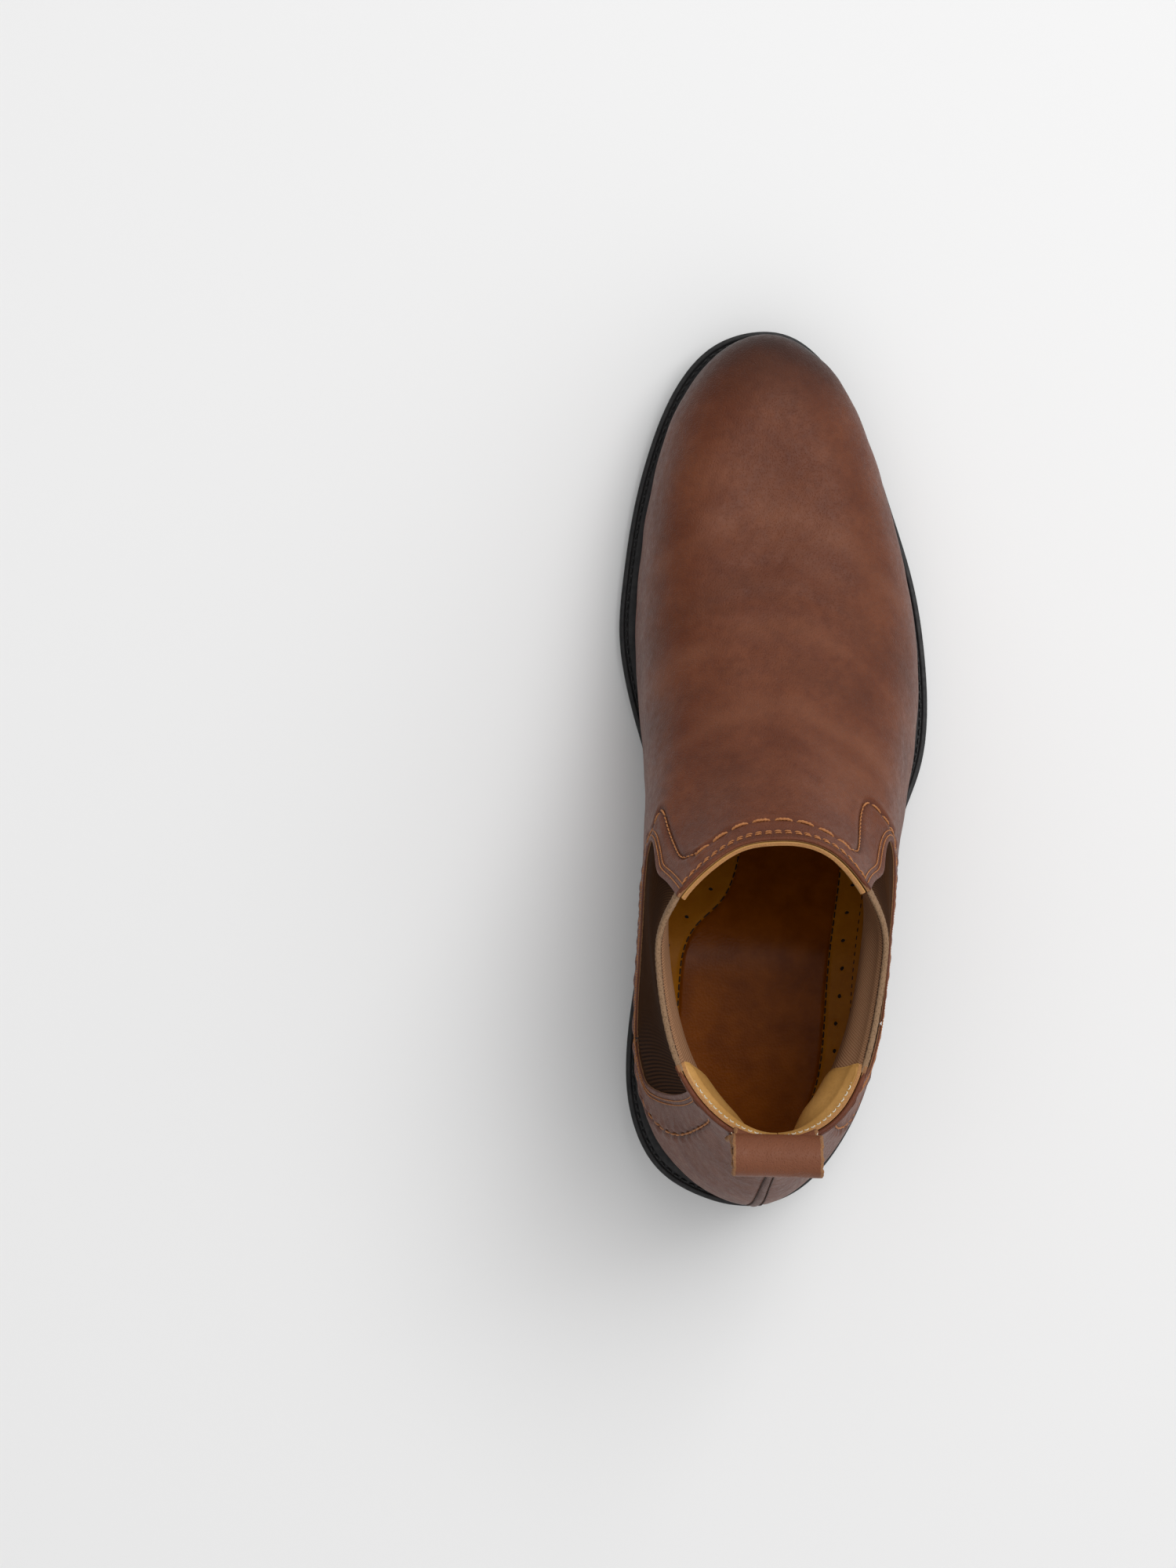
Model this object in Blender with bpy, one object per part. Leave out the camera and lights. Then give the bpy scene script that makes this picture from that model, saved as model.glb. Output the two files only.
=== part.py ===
"""Chelsea boot, right foot. Metres, +Z up, toe towards +Y, medial side towards -X."""
import math

import bmesh
import bpy
import numpy as np
from mathutils import Vector

for old in list(bpy.data.objects):
    bpy.data.objects.remove(old, do_unlink=True)

MM = 0.001

# ---- driving dimensions, millimetres ----
SHIFT_X = -0.02          # moves the drawn outline onto the centre of its box
SHIFT_Y = -1.05
OUTSOLE_THICK = 5.0
WELT_THICK = 3.0
WELT_WIDTH = 9.0
HEEL_LIFT = 21.0        # height of the outsole's underside over the heel
TOP_LIFT_THICK = 6.0
HEEL_BREAST_Y = -72.0
TOE_SPRING = 9.0
GAP = 0.3
FOOT_GAP = 0.8          # under the upper's turned edge, where the seat curves
UPPER_THICK = 1.6       # outer leather
MID_IN, MID_OUT = 2.9, 1.9      # stiffener layer, measured inwards from the outer surface
LINING_IN, LINING_OUT = 4.2, 3.2
GORE_OUT, GORE_IN = 0.7, 2.7
PAD_DEPTH = 5.0
GORE_LOW_V = 2.0
TAB_WIDTH = 28.0
TAB_X = -5.5
TAB_THICK = 1.5
TAB_HINGE = (-117.8, 145.6)     # y, z of the pull tab's bending line
NAIL_D = 2.6
NAIL_LEN = 12.0
SHANK_W = 14.0
SHANK_THICK = 2.0
GROOVE_W = 1.4
GROOVE_DEEP = 0.8

# welt outline, clockwise from the toe tip seen from above: lateral side first
OUTLINE = [
    (-5.0, 150.9), (9.5, 147.2), (21.8, 134.8), (31.5, 117.0), (40.5, 91.0),
    (48.4, 65.0), (52.4, 40.0), (53.3, 18.0), (50.3, -1.5), (42.6, -22.0),
    (37.0, -48.0), (35.4, -76.0), (32.6, -102.0), (24.0, -124.0), (9.5, -142.0),
    (-9.0, -148.8), (-27.0, -145.0), (-41.5, -135.0), (-49.5, -118.0), (-51.2, -98.0),
    (-48.5, -74.0), (-44.0, -48.0), (-41.5, -22.0), (-43.4, 0.0), (-48.2, 18.0),
    (-53.0, 42.0), (-52.3, 64.0), (-48.8, 88.0), (-43.2, 110.0), (-35.0, 130.0),
    (-22.0, 145.4),
]

# the outer surface of the upper: eight rings from the feather edge to the topline, sixteen columns
# each, from the toe tip round the lateral side to the heel (column 8) and back along the medial side
FEATHER = [
    (-4.5, 145.0), (18.0, 132.0), (34.0, 96.0), (46.0, 45.0), (43.0, -1.0), (35.5, -42.0), (32.0, -82.0),
    (19.0, -123.0), (-9.0, -142.5), (-37.5, -125.5), (-46.0, -88.0), (-41.5, -42.0), (-41.0, -1.0),
    (-46.0, 45.0), (-40.0, 96.0), (-26.0, 131.0),
]
LOW = [
    (-4.5, 148.0, 7), (20.0, 134.0, 7), (36.2, 97.0, 7), (47.7, 45.0, 7), (45.2, -1.0, 8), (37.8, -42.0, 8),
    (34.6, -82.0, 9), (20.6, -124.5, 9), (-9.0, -145.6, 9), (-39.4, -127.0, 9), (-48.4, -88.0, 9),
    (-44.0, -42.0, 8), (-43.6, -1.0, 8), (-47.6, 45.0, 7), (-41.8, 97.0, 7), (-27.6, 133.0, 7),
]
BULGE = [
    (-4.5, 148.0, 33), (20.0, 133.5, 33), (36.4, 96.0, 31), (48.0, 44.0, 28), (45.3, -2.0, 36),
    (38.2, -43.0, 47), (35.0, -83.0, 51), (20.4, -124.0, 54), (-8.8, -145.8, 56), (-38.6, -126.0, 54),
    (-48.3, -88.0, 51), (-46.6, -43.0, 48), (-45.0, -2.0, 38), (-47.4, 44.0, 30), (-41.8, 96.0, 31),
    (-27.4, 132.5, 33),
]
MID = [
    (-4.6, 134.0, 46.5), (14.5, 121.0, 47), (32.0, 89.0, 47), (44.0, 40.0, 47), (41.5, -6.0, 58),
    (37.2, -46.0, 70), (32.2, -84.0, 74), (18.0, -119.5, 78), (-7.8, -141.5, 80), (-33.8, -121.5, 78),
    (-45.0, -87.0, 74), (-46.8, -46.0, 71), (-44.8, -6.0, 60), (-45.0, 40.0, 50), (-37.5, 89.0, 48),
    (-22.5, 121.0, 47),
]
UPPER = [
    (-5.0, 92.0, 54.5), (8.5, 83.0, 56), (21.5, 58.0, 61), (32.6, 19.0, 71), (36.0, -17.0, 84),
    (34.8, -50.0, 93), (28.6, -85.5, 99), (15.0, -115.5, 103), (-6.5, -133.5, 105), (-28.4, -117.0, 103),
    (-41.0, -87.5, 99), (-46.0, -50.0, 94), (-44.0, -17.0, 86), (-37.8, 19.0, 75), (-27.6, 58.0, 64.5),
    (-16.8, 83.0, 57.5),
]
INSTEP = [
    (-5.5, 30.0, 79.5), (4.8, 25.0, 81.5), (15.0, 12.0, 86), (25.0, -6.5, 93), (32.8, -32.0, 104),
    (32.6, -56.5, 111), (26.2, -88.0, 118), (13.0, -113.5, 123), (-5.2, -126.0, 125.5),
    (-24.0, -114.0, 123), (-38.8, -89.0, 118.5), (-44.8, -56.5, 112), (-43.6, -32.0, 106), (-36.2, -6.5, 96),
    (-25.8, 12.0, 88.5), (-16.2, 25.0, 83),
]
SHAFT = [
    (-6.0, -2.0, 106), (4.2, -4.0, 107), (14.6, -11.5, 108.5), (24.2, -24.5, 112), (31.6, -43.0, 118),
    (31.6, -62.0, 121.5), (25.4, -90.8, 127.5), (13.2, -112.6, 132.5), (-4.8, -121.5, 134.5),
    (-23.4, -113.0, 132.5), (-37.8, -90.8, 128), (-43.6, -62.0, 122), (-42.8, -43.0, 119), (-36.0, -25.0, 113),
    (-25.8, -12.5, 110), (-15.8, -4.4, 107.5),
]
TOPLINE = [
    (-5.6, -21.4, 135), (4.6, -21.9, 135), (15.0, -26.4, 134.7), (24.4, -36.8, 133.5), (30.6, -50.0, 131.5),
    (30.3, -66.0, 131.5), (24.6, -93.2, 136), (13.2, -112.0, 140.5), (-4.5, -118.2, 142),
    (-22.6, -112.4, 140.5), (-37.4, -92.8, 136), (-43.0, -66.0, 131.5), (-42.4, -51.0, 131.5),
    (-35.6, -38.6, 133.5), (-25.4, -28.6, 134.7), (-15.6, -23.0, 135),
]

# the gore's front and rear edges, as places on the columns at each ring height
GORE_FRONT = [(1.93, 6.05), (2.2, 5.76), (2.6, 5.45), (3.15, 5.05), (3.6, 4.64), (4.4, 4.03), (4.9, 3.88),
              (5.4, 3.83), (6.0, 3.58), (7.0, 3.12)]
GORE_REAR = [(1.93, 6.08), (2.1, 6.28), (2.5, 6.46), (3.2, 6.55), (4.15, 6.55), (5.5, 6.38), (7.0, 6.02)]


# ---- materials ----
def material(name, colour, rough, metal=0.0):
    mat = bpy.data.materials.new(name)
    mat.use_nodes = True
    bsdf = mat.node_tree.nodes["Principled BSDF"]
    bsdf.inputs["Base Color"].default_value = (*colour, 1.0)
    bsdf.inputs["Roughness"].default_value = rough
    bsdf.inputs["Metallic"].default_value = metal
    mat.diffuse_color = (*colour, 1.0)
    return mat


LEATHER = material("brown_leather", (0.19, 0.062, 0.026), 0.45)
LINING = material("tan_lining_leather", (0.56, 0.30, 0.07), 0.4)
SOCK = material("sock_leather", (0.22, 0.065, 0.015), 0.35)
ELASTIC = material("elastic_fabric", (0.20, 0.13, 0.09), 0.9)
TAPE = material("binding_tape", (0.42, 0.28, 0.16), 0.85)
RUBBER = material("black_rubber", (0.012, 0.012, 0.012), 0.6)
THREAD = material("thread", (0.05, 0.035, 0.025), 0.8)
CORK = material("cork", (0.42, 0.24, 0.11), 0.9)
BOARD = material("fibre_board", (0.33, 0.24, 0.15), 0.9)
FOAM = material("foam", (0.62, 0.55, 0.42), 0.95)
FELT = material("stiffener", (0.55, 0.50, 0.42), 0.95)
STEEL = material("steel", (0.55, 0.56, 0.58), 0.35, 1.0)


# ---- curves ----
def periodic(points, at):
    """C2 closed cubic spline through points with even knots, sampled at the values in at."""
    pts = np.asarray(points, float)
    n = len(pts)
    lhs = np.zeros((n, n))
    for i in range(n):
        lhs[i, i] = 4.0
        lhs[i, (i - 1) % n] += 1.0
        lhs[i, (i + 1) % n] += 1.0
    rhs = 6.0 * (np.roll(pts, -1, axis=0) - 2.0 * pts + np.roll(pts, 1, axis=0))
    m = np.linalg.solve(lhs, rhs)
    t = np.mod(np.asarray(at, float), n)
    i = np.floor(t).astype(int) % n
    f = (t - np.floor(t))[..., None]
    j = (i + 1) % n
    a = m[i] * (1 - f) ** 3 / 6 + m[j] * f ** 3 / 6
    return a + (pts[i] - m[i] / 6) * (1 - f) + (pts[j] - m[j] / 6) * f


def open_spline(knots, values, at):
    """Natural cubic spline through values at the given knots."""
    x = np.asarray(knots, float)
    y = np.asarray(values, float)
    n = len(x)
    h = np.diff(x)
    lhs = np.eye(n)
    rhs = np.zeros((n,) + y.shape[1:])
    for i in range(1, n - 1):
        lhs[i, i - 1] = h[i - 1]
        lhs[i, i] = 2 * (h[i - 1] + h[i])
        lhs[i, i + 1] = h[i]
        rhs[i] = 6 * ((y[i + 1] - y[i]) / h[i] - (y[i] - y[i - 1]) / h[i - 1])
    m = np.linalg.solve(lhs, rhs)
    k = int(np.clip(np.searchsorted(x, at, side="right") - 1, 0, n - 2))
    a = (x[k + 1] - at) / h[k]
    b = (at - x[k]) / h[k]
    bend = ((a ** 3 - a) * m[k] + (b ** 3 - b) * m[k + 1]) * h[k] ** 2 / 6
    return a * y[k] + b * y[k + 1] + bend


def smooth(t):
    t = np.clip(t, 0.0, 1.0)
    return t * t * (3 - 2 * t)


def sole_z(y):
    """Height of the outsole's underside: flat tread, toe spring, and the rise to the heel seat."""
    y = np.asarray(y, float)
    toe = TOE_SPRING * np.clip((y - 75.0) / 75.0, 0, None) ** 2
    waist = HEEL_LIFT * smooth((-2.0 - y) / 68.0)
    return toe + waist


def seat_z(y):
    return sole_z(y) + OUTSOLE_THICK + GAP + WELT_THICK


def make_rings():
    rings = [[(x, y, float(seat_z(y)) + FOOT_GAP) for x, y in FEATHER]]
    rings.append([(x, y, float(seat_z(y)) + dz) for x, y, dz in LOW])
    rings += [BULGE, MID, UPPER, INSTEP, SHAFT, TOPLINE]
    return np.array(rings, float)


RINGS = make_rings()


def column_knots():
    """Chord-length knots of each column, so that uneven ring spacing doesn't make ripples."""
    chord = np.linalg.norm(np.diff(RINGS, axis=0), axis=2) ** 0.75
    return np.vstack([np.zeros(16), np.cumsum(chord, axis=0)])


KNOTS = column_knots()


def ring_at(v):
    """Sixteen control points at ring height v, 0 at the feather edge and 7 at the topline."""
    k = min(int(v), 6)
    pts = []
    for c in range(16):
        kn = KNOTS[:, c]
        at = kn[k] + (kn[k + 1] - kn[k]) * (v - k)
        pts.append(open_spline(kn, RINGS[:, c], at))
    return np.array(pts)


def gore_edges(v):
    """Where the gore's front and rear edges cross height v; below the gore both are the side seam."""
    if v <= GORE_FRONT[0][0]:
        return 6.05, 6.07
    f = np.array(GORE_FRONT)
    r = np.array(GORE_REAR)
    return float(open_spline(f[:, 0], f[:, 1], v)), float(open_spline(r[:, 0], r[:, 1], v))


def warp(s, v):
    """The gore lies between s = 4.5 and 5.5, and between 10.5 and 11.5 on the medial side."""
    front, rear = gore_edges(v)
    us = [-8, -rear, -front, 0, front, rear, 8, 16 - rear, 16 - front, 16, 16 + front]
    ss = [-8, -5.5, -4.5, 0, 4.5, 5.5, 8, 10.5, 11.5, 16, 20.5]
    return np.interp(s, ss, us)


def padding(s, v):
    """How far the lining stands in from its thin place: the collar is padded at the sides and heel."""
    s = np.asarray(s, float)
    rise = float(smooth((7 - v) / 1.7) * smooth((v - 1.3) / 2.4))
    around = np.minimum(np.abs(s), np.abs(16 - s))
    side = smooth((around - 3.4) / 1.1) * (1 - 0.8 * smooth((around - 6.4) / 1.2))
    medial = 1 - 0.5 * smooth((np.mod(s, 16) - 7.4) / 1.2)
    return PAD_DEPTH * rise * side * medial


def surface(u, v):
    """The upper's outer surface; its foot is set exactly on the curved seat of the sole."""
    here = periodic(ring_at(v), u)
    foot = periodic(RINGS[0], u)
    lift = seat_z(foot[:, 1]) + FOOT_GAP - foot[:, 2]
    here[:, 2] += lift * max(0.0, 1 - v / 3.0) ** 2
    return here


def skin(s, v):
    """Outer surface points and outward normals for one row of s values at height v."""
    eps = 0.02
    u = warp(np.asarray(s, float), v)
    lo, hi = max(v - eps, 0), min(v + eps, 7)
    du = surface(u + eps, v) - surface(u - eps, v)
    dv = surface(u, hi) - surface(u, lo)
    n = np.cross(dv, du)
    n /= np.linalg.norm(n, axis=1)[:, None]
    return surface(u, v), n


# ---- mesh helpers ----
def add_mesh(name, verts, faces, mat):
    mesh = bpy.data.meshes.new(name)
    moved = [((p[0] + SHIFT_X) * MM, (p[1] + SHIFT_Y) * MM, p[2] * MM) for p in verts]
    mesh.from_pydata(moved, [], faces)
    mesh.materials.append(mat)
    bm = bmesh.new()
    bm.from_mesh(mesh)
    bmesh.ops.recalc_face_normals(bm, faces=bm.faces)
    bm.to_mesh(mesh)
    bm.free()
    obj = bpy.data.objects.new(name, mesh)
    bpy.context.scene.collection.objects.link(obj)
    return obj


def slab(name, outer, inner, mat, closed=False):
    """A sheet between two grids of points [row][column]; closed joins the last column to the first."""
    rows, cols = len(outer), len(outer[0])
    verts = [tuple(p) for row in outer for p in row] + [tuple(p) for row in inner for p in row]
    half = rows * cols
    faces = []
    last = cols if closed else cols - 1
    for r in range(rows - 1):
        for c in range(last):
            d = (c + 1) % cols
            a, b, e, f = r * cols + c, r * cols + d, (r + 1) * cols + d, (r + 1) * cols + c
            faces.append((a, b, e, f))
            faces.append((half + a, half + f, half + e, half + b))
    for c in range(last):
        d = (c + 1) % cols
        faces.append((c, half + c, half + d, d))
        top = (rows - 1) * cols
        faces.append((top + c, top + d, half + top + d, half + top + c))
    if not closed:
        for r in range(rows - 1):
            a, b = r * cols, (r + 1) * cols
            faces.append((a, b, half + b, half + a))
            a, b = a + cols - 1, b + cols - 1
            faces.append((a, half + a, half + b, b))
    return add_mesh(name, verts, faces, mat)


S_LINES = [-5.5, -4.5, -4.25, -4, -3.75, -3.5, -3, -2.6, -2.2, -1.9, -1.6, -1.3, -1, -0.75, -0.5, -0.25, 0, 0.25, 0.5, 0.75,
           1, 1.3, 1.6, 1.9, 2.2, 2.6, 3, 3.5, 3.75, 4, 4.25, 4.5, 4.7, 4.9, 5.1, 5.3, 5.5, 5.7, 5.9, 6.12, 6.35, 6.7, 7, 7.25, 7.5, 7.75,
           8, 8.25, 8.5, 8.75, 9, 9.3, 9.65, 9.88, 10.1, 10.3, 10.5, 10.7, 10.9, 11.1, 11.3, 11.5]
V_LINES = [0, 0.5, 1, 1.5, 1.93, 2, 2.1, 2.25, 2.5, 2.8, 3.15, 3.6, 3.65, 4, 4.5, 4.55, 5, 5.5, 6, 6.1, 6.5, 6.82, 6.86, 6.92, 7]


def lines(all_lines, lo, hi):
    return [lo] + [x for x in all_lines if lo + 0.02 < x < hi - 0.02] + [hi]


def panel(name, s0, s1, v0, v1, depth_out, depth_in, mat, pad_out=0.0, pad_in=0.0):
    """One piece of the upper: a window of the outer surface between two depths. pad_out and pad_in
    say how much of the padding's thickness each face follows."""
    s = lines(S_LINES, s0, s1)
    outer, inner = [], []
    for v in lines(V_LINES, v0, v1):
        p, n = skin(s, v)
        pad = padding(s, v)[:, None]
        outer.append(p - n * (depth_out + pad_out * pad))
        inner.append(p - n * (depth_in + pad_in * pad))
    return slab(name, outer, inner, mat)


def outline(inset, count=96):
    """The welt outline moved inwards, as count points from the toe tip round the lateral side."""
    t = np.linspace(0, len(OUTLINE), count, endpoint=False)
    p = periodic(OUTLINE, t)
    d = periodic(OUTLINE, t + 0.01) - periodic(OUTLINE, t - 0.01)
    n = np.stack([-d[:, 1], d[:, 0]], axis=1)
    n /= np.linalg.norm(n, axis=1)[:, None]
    return p - n * inset * np.sign(np.sum(n * (p - np.array([-3.0, 0.0])), axis=1))[:, None] * 1.0


def feather_outline(inset, count=96):
    t = np.linspace(0, 16, count, endpoint=False)
    p = periodic(FEATHER, t)
    d = periodic(FEATHER, t + 0.01) - periodic(FEATHER, t - 0.01)
    n = np.stack([d[:, 1], -d[:, 0]], axis=1)
    n /= np.linalg.norm(n, axis=1)[:, None]
    return p + n * inset


def sides(loop, y):
    """x of the medial and lateral edge of a closed outline at each y."""
    top = int(np.argmax(loop[:, 1]))
    loop = np.roll(loop, -top, axis=0)
    low = int(np.argmin(loop[:, 1]))
    lat = loop[: low + 1]
    med = np.vstack([loop[low:], loop[:1]])
    x_lat = np.interp(y, lat[::-1, 1], lat[::-1, 0])
    x_med = np.interp(y, med[:, 1], med[:, 0])
    return x_med, x_lat


def plate(name, loop, z_low, z_high, mat, y0=None, y1=None, rows=40, cols=6, narrow=None):
    """A plate that follows the last's curve, cut to a closed outline and to y0..y1."""
    lo, hi = loop[:, 1].min() + 0.15, loop[:, 1].max() - 0.15
    lo = lo if y0 is None else y0
    hi = hi if y1 is None else y1
    y = lo + (hi - lo) * 0.5 * (1 - np.cos(np.linspace(0, math.pi, rows)))
    x_med, x_lat = sides(loop, y)
    if narrow is not None:
        mid = 0.5 * (x_med + x_lat)
        x_med = np.maximum(x_med, mid - narrow / 2)
        x_lat = np.minimum(x_lat, mid + narrow / 2)
    top, low = [], []
    f = np.linspace(0, 1, cols)
    for k in range(rows):
        x = x_med[k] + (x_lat[k] - x_med[k]) * f
        top.append([(a, y[k], float(z_high(y[k]))) for a in x])
        low.append([(a, y[k], float(z_low(y[k]))) for a in x])
    return slab(name, top, low, mat)


# ---- bottom ----
def build_outsole():
    return plate("outsole", outline(0.0, 220), sole_z, lambda y: sole_z(y) + OUTSOLE_THICK, RUBBER, rows=56, cols=5)


def build_welt():
    """A ring all round the boot with a groove for the stitches in its top."""
    base = OUTSOLE_THICK + GAP
    top = base + WELT_THICK
    mid = 2.4
    section = [(0.2, base), (0.2, top - 0.5), (0.7, top), (mid - GROOVE_W / 2, top), (mid - GROOVE_W / 2, top - GROOVE_DEEP),
               (mid + GROOVE_W / 2, top - GROOVE_DEEP), (mid + GROOVE_W / 2, top), (WELT_WIDTH, top), (WELT_WIDTH, base)]
    return ring_sweep("welt", section, RUBBER)


def ring_sweep(name, section, mat, count=92):
    """Sweeps a closed section of (inset, height over the outsole's underside) along the outline."""
    loops = []
    for inset, height in section:
        p = outline(inset, count)
        loops.append([(x, y, float(sole_z(y)) + height) for x, y in p])
    verts = [p for loop in loops for p in loop]
    faces = []
    k = len(section)
    for i in range(k):
        j = (i + 1) % k
        for c in range(count):
            d = (c + 1) % count
            faces.append((i * count + c, i * count + d, j * count + d, j * count + c))
    return add_mesh(name, verts, faces, mat)


def build_welt_thread():
    top = OUTSOLE_THICK + GAP + WELT_THICK
    r = 0.28
    section = [(2.4 + r * math.cos(a), top - 0.45 + r * math.sin(a)) for a in np.linspace(0, 2 * math.pi, 6)[:-1]]
    return ring_sweep("welt_thread", section, THREAD)


def heel_plate(name, z_low, z_high, inset):
    """The heel's plan: the outline behind a slightly hollow breast."""
    loop = outline(inset, 220)
    rows, cols = 22, 9
    y_back = loop[:, 1].min() + 0.15
    f = np.linspace(0, 1, cols)
    hollow = 4.0 * (1 - (2 * f - 1) ** 2)
    top, low = [], []
    for k in range(rows):
        g = 0.5 * (1 - math.cos(math.pi * k / (rows - 1)))
        y = y_back + (HEEL_BREAST_Y - y_back) * g
        pull = hollow * g ** 2
        x_med, x_lat = sides(loop, np.array([y]))
        x = x_med[0] + (x_lat[0] - x_med[0]) * f
        top.append([(a, y - b, float(z_high(y - b))) for a, b in zip(x, pull)])
        low.append([(a, y - b, float(z_low(y - b))) for a, b in zip(x, pull)])
    return slab(name, top, low, RUBBER)


NAILS = [(-30.0, -112.0), (12.0, -112.0), (-22.0, -90.0), (6.0, -90.0), (-9.0, -128.0)]


def build_heel():
    heel_plate("heel_top_lift", lambda y: 0.0, lambda y: TOP_LIFT_THICK, 0.8)
    stack = heel_plate("heel_stack", lambda y: TOP_LIFT_THICK + GAP, lambda y: float(sole_z(y)) - GAP, 0.6)
    cutters = bpy.data.collections.new("cutters")
    bpy.context.scene.collection.children.link(cutters)
    for i, (x, y) in enumerate(NAILS):
        place = Vector(((x + SHIFT_X) * MM, (y + SHIFT_Y) * MM, (TOP_LIFT_THICK + GAP + NAIL_LEN / 2 + 0.8) * MM))
        bpy.ops.mesh.primitive_cylinder_add(vertices=12, radius=(NAIL_D / 2 + GAP) * MM, location=place,
                                            depth=(NAIL_LEN + 2 * GAP) * MM)
        hole = bpy.context.object
        hole.name = f"nail_hole_{i + 1}"
        hole.location.z = (TOP_LIFT_THICK + GAP + (NAIL_LEN + 2 * GAP) / 2 - 0.01) * MM
        for coll in list(hole.users_collection):
            coll.objects.unlink(hole)
        cutters.objects.link(hole)
        hole.hide_render = True
        hole.display_type = "WIRE"
        cut = stack.modifiers.new(f"hole_{i + 1}", "BOOLEAN")
        cut.operation = "DIFFERENCE"
        cut.solver = "EXACT"
        cut.object = hole
        bpy.ops.mesh.primitive_cylinder_add(vertices=12, radius=NAIL_D / 2 * MM, depth=NAIL_LEN * MM)
        nail = bpy.context.object
        nail.name = f"heel_nail_{i + 1}"
        nail.location = (place.x, place.y, (TOP_LIFT_THICK + GAP + GAP / 2 + NAIL_LEN / 2) * MM)
        nail.data.materials.append(STEEL)


def build_inside():
    """Filler, shank, insole board, foam footbed and the sock lining that is seen from above."""
    base = OUTSOLE_THICK + GAP
    inner = outline(WELT_WIDTH + 0.6, 160)
    plate("bottom_filler", inner, lambda y: sole_z(y) + base, lambda y: sole_z(y) + base + 2.4, CORK,
          y0=8.0, rows=22, cols=5)
    plate("shank", inner, lambda y: sole_z(y) + base, lambda y: sole_z(y) + base + SHANK_THICK, STEEL,
          y0=-118.0, y1=6.0, rows=22, cols=3, narrow=SHANK_W)
    seat = base + WELT_THICK + GAP
    plate("insole_board", feather_outline(5.2, 160), lambda y: sole_z(y) + seat, lambda y: sole_z(y) + seat + 2.0,
          BOARD, rows=40, cols=5)
    plate("footbed_foam", feather_outline(5.0, 160), lambda y: sole_z(y) + seat + 2.3,
          lambda y: sole_z(y) + seat + 6.0, FOAM, rows=40, cols=5)
    plate("sock_lining", feather_outline(4.9, 160), lambda y: sole_z(y) + seat + 6.3,
          lambda y: sole_z(y) + seat + 7.5, SOCK, rows=40, cols=5)


# ---- upper ----
def build_upper():
    panel("vamp", -4.47, 4.47, 0, 6.92, 0, UPPER_THICK, LEATHER)
    panel("quarter_lateral", 5.53, 7.985, 0, 7, 0, UPPER_THICK, LEATHER)
    panel("quarter_medial", 8.015, 10.47, 0, 7, 0, UPPER_THICK, LEATHER)
    panel("collar_binding_front", -4.47, 4.47, 6.95, 7, 0, LINING_IN, LEATHER)
    panel("toe_puff", -1.9, 1.9, 0, 3.6, MID_OUT, MID_IN, FELT)
    panel("vamp_interlining", -4.0, 4.0, 3.65, 6.5, MID_OUT, MID_IN, FELT)
    panel("heel_counter", 5.9, 10.1, 0, 4.5, MID_OUT, MID_IN, FELT)
    panel("collar_padding", 5.9, 10.1, 2.25, 6.0, LINING_OUT, LINING_OUT - GAP, FOAM, 0, 1)
    panel("vamp_lining", -4.47, 4.47, 0, 6.92, LINING_OUT, LINING_IN, LINING, 1, 1)
    panel("heel_lining_lateral", 5.53, 7.985, 0, 7, LINING_OUT, LINING_IN, LINING, 1, 1)
    panel("heel_lining_medial", 8.015, 10.47, 0, 7, LINING_OUT, LINING_IN, LINING, 1, 1)
    panel("back_seam_strip", 7.94, 8.06, 1.5, 6.1, -0.75, -0.25, LEATHER)
    for side, s0, s1 in (("lateral", 4.53, 5.47), ("medial", 10.53, 11.47)):
        panel(f"gore_{side}", s0, s1, GORE_LOW_V, 6.82, GORE_OUT, GORE_IN - 0.5, ELASTIC)
        panel(f"gore_lining_{side}", s0, s1, GORE_LOW_V, 6.82, GORE_IN, GORE_IN + 0.9, ELASTIC, 1.15, 1.15)
        panel(f"gore_binding_{side}", s0, s1, 6.86, 7, GORE_OUT, GORE_IN + 0.9, TAPE)


def build_pull_tab():
    """The loop stands over the back of the topline and bends about its sewn line."""
    panel("pull_tab_anchor", 7.25, 8.75, 6.1, 6.92, MID_OUT, MID_IN, LEATHER)
    y0, z0 = TAB_HINGE
    centre = [(0.0, -1.0), (0.9, 1.5), (2.7, 5.0), (3.6, 9.0), (2.2, 13.0), (-1.8, 15.4), (-6.2, 14.4), (-8.0, 10.8),
              (-7.0, 7.0), (-4.2, 4.2), (-2.1, 1.8), (-1.65, -1.0)]
    pts = np.array([open_spline(np.arange(12), np.array(centre), a) for a in np.linspace(0, 11, 34)])
    d = np.gradient(pts, axis=0)
    n = np.stack([d[:, 1], -d[:, 0]], axis=1)
    n /= np.linalg.norm(n, axis=1)[:, None]
    out = pts + n * TAB_THICK / 2
    ins = pts - n * TAB_THICK / 2
    half = len(pts)
    x_lo, x_hi = TAB_X - TAB_WIDTH / 2, TAB_X + TAB_WIDTH / 2
    left = [[(x_lo, y0 + a, z0 + b) for a, b in out], [(x_hi, y0 + a, z0 + b) for a, b in out]]
    right = [[(x_lo, y0 + a, z0 + b) for a, b in ins], [(x_hi, y0 + a, z0 + b) for a, b in ins]]
    return slab("pull_tab", left, right, LEATHER)


build_outsole()
build_welt()
build_welt_thread()
build_heel()
build_inside()
build_upper()
build_pull_tab()
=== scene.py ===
"""Chelsea boot: the looks of its pieces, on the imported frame."""
import math

import bmesh
import bpy
import numpy as np
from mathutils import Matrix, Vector
from mathutils.kdtree import KDTree


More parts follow.
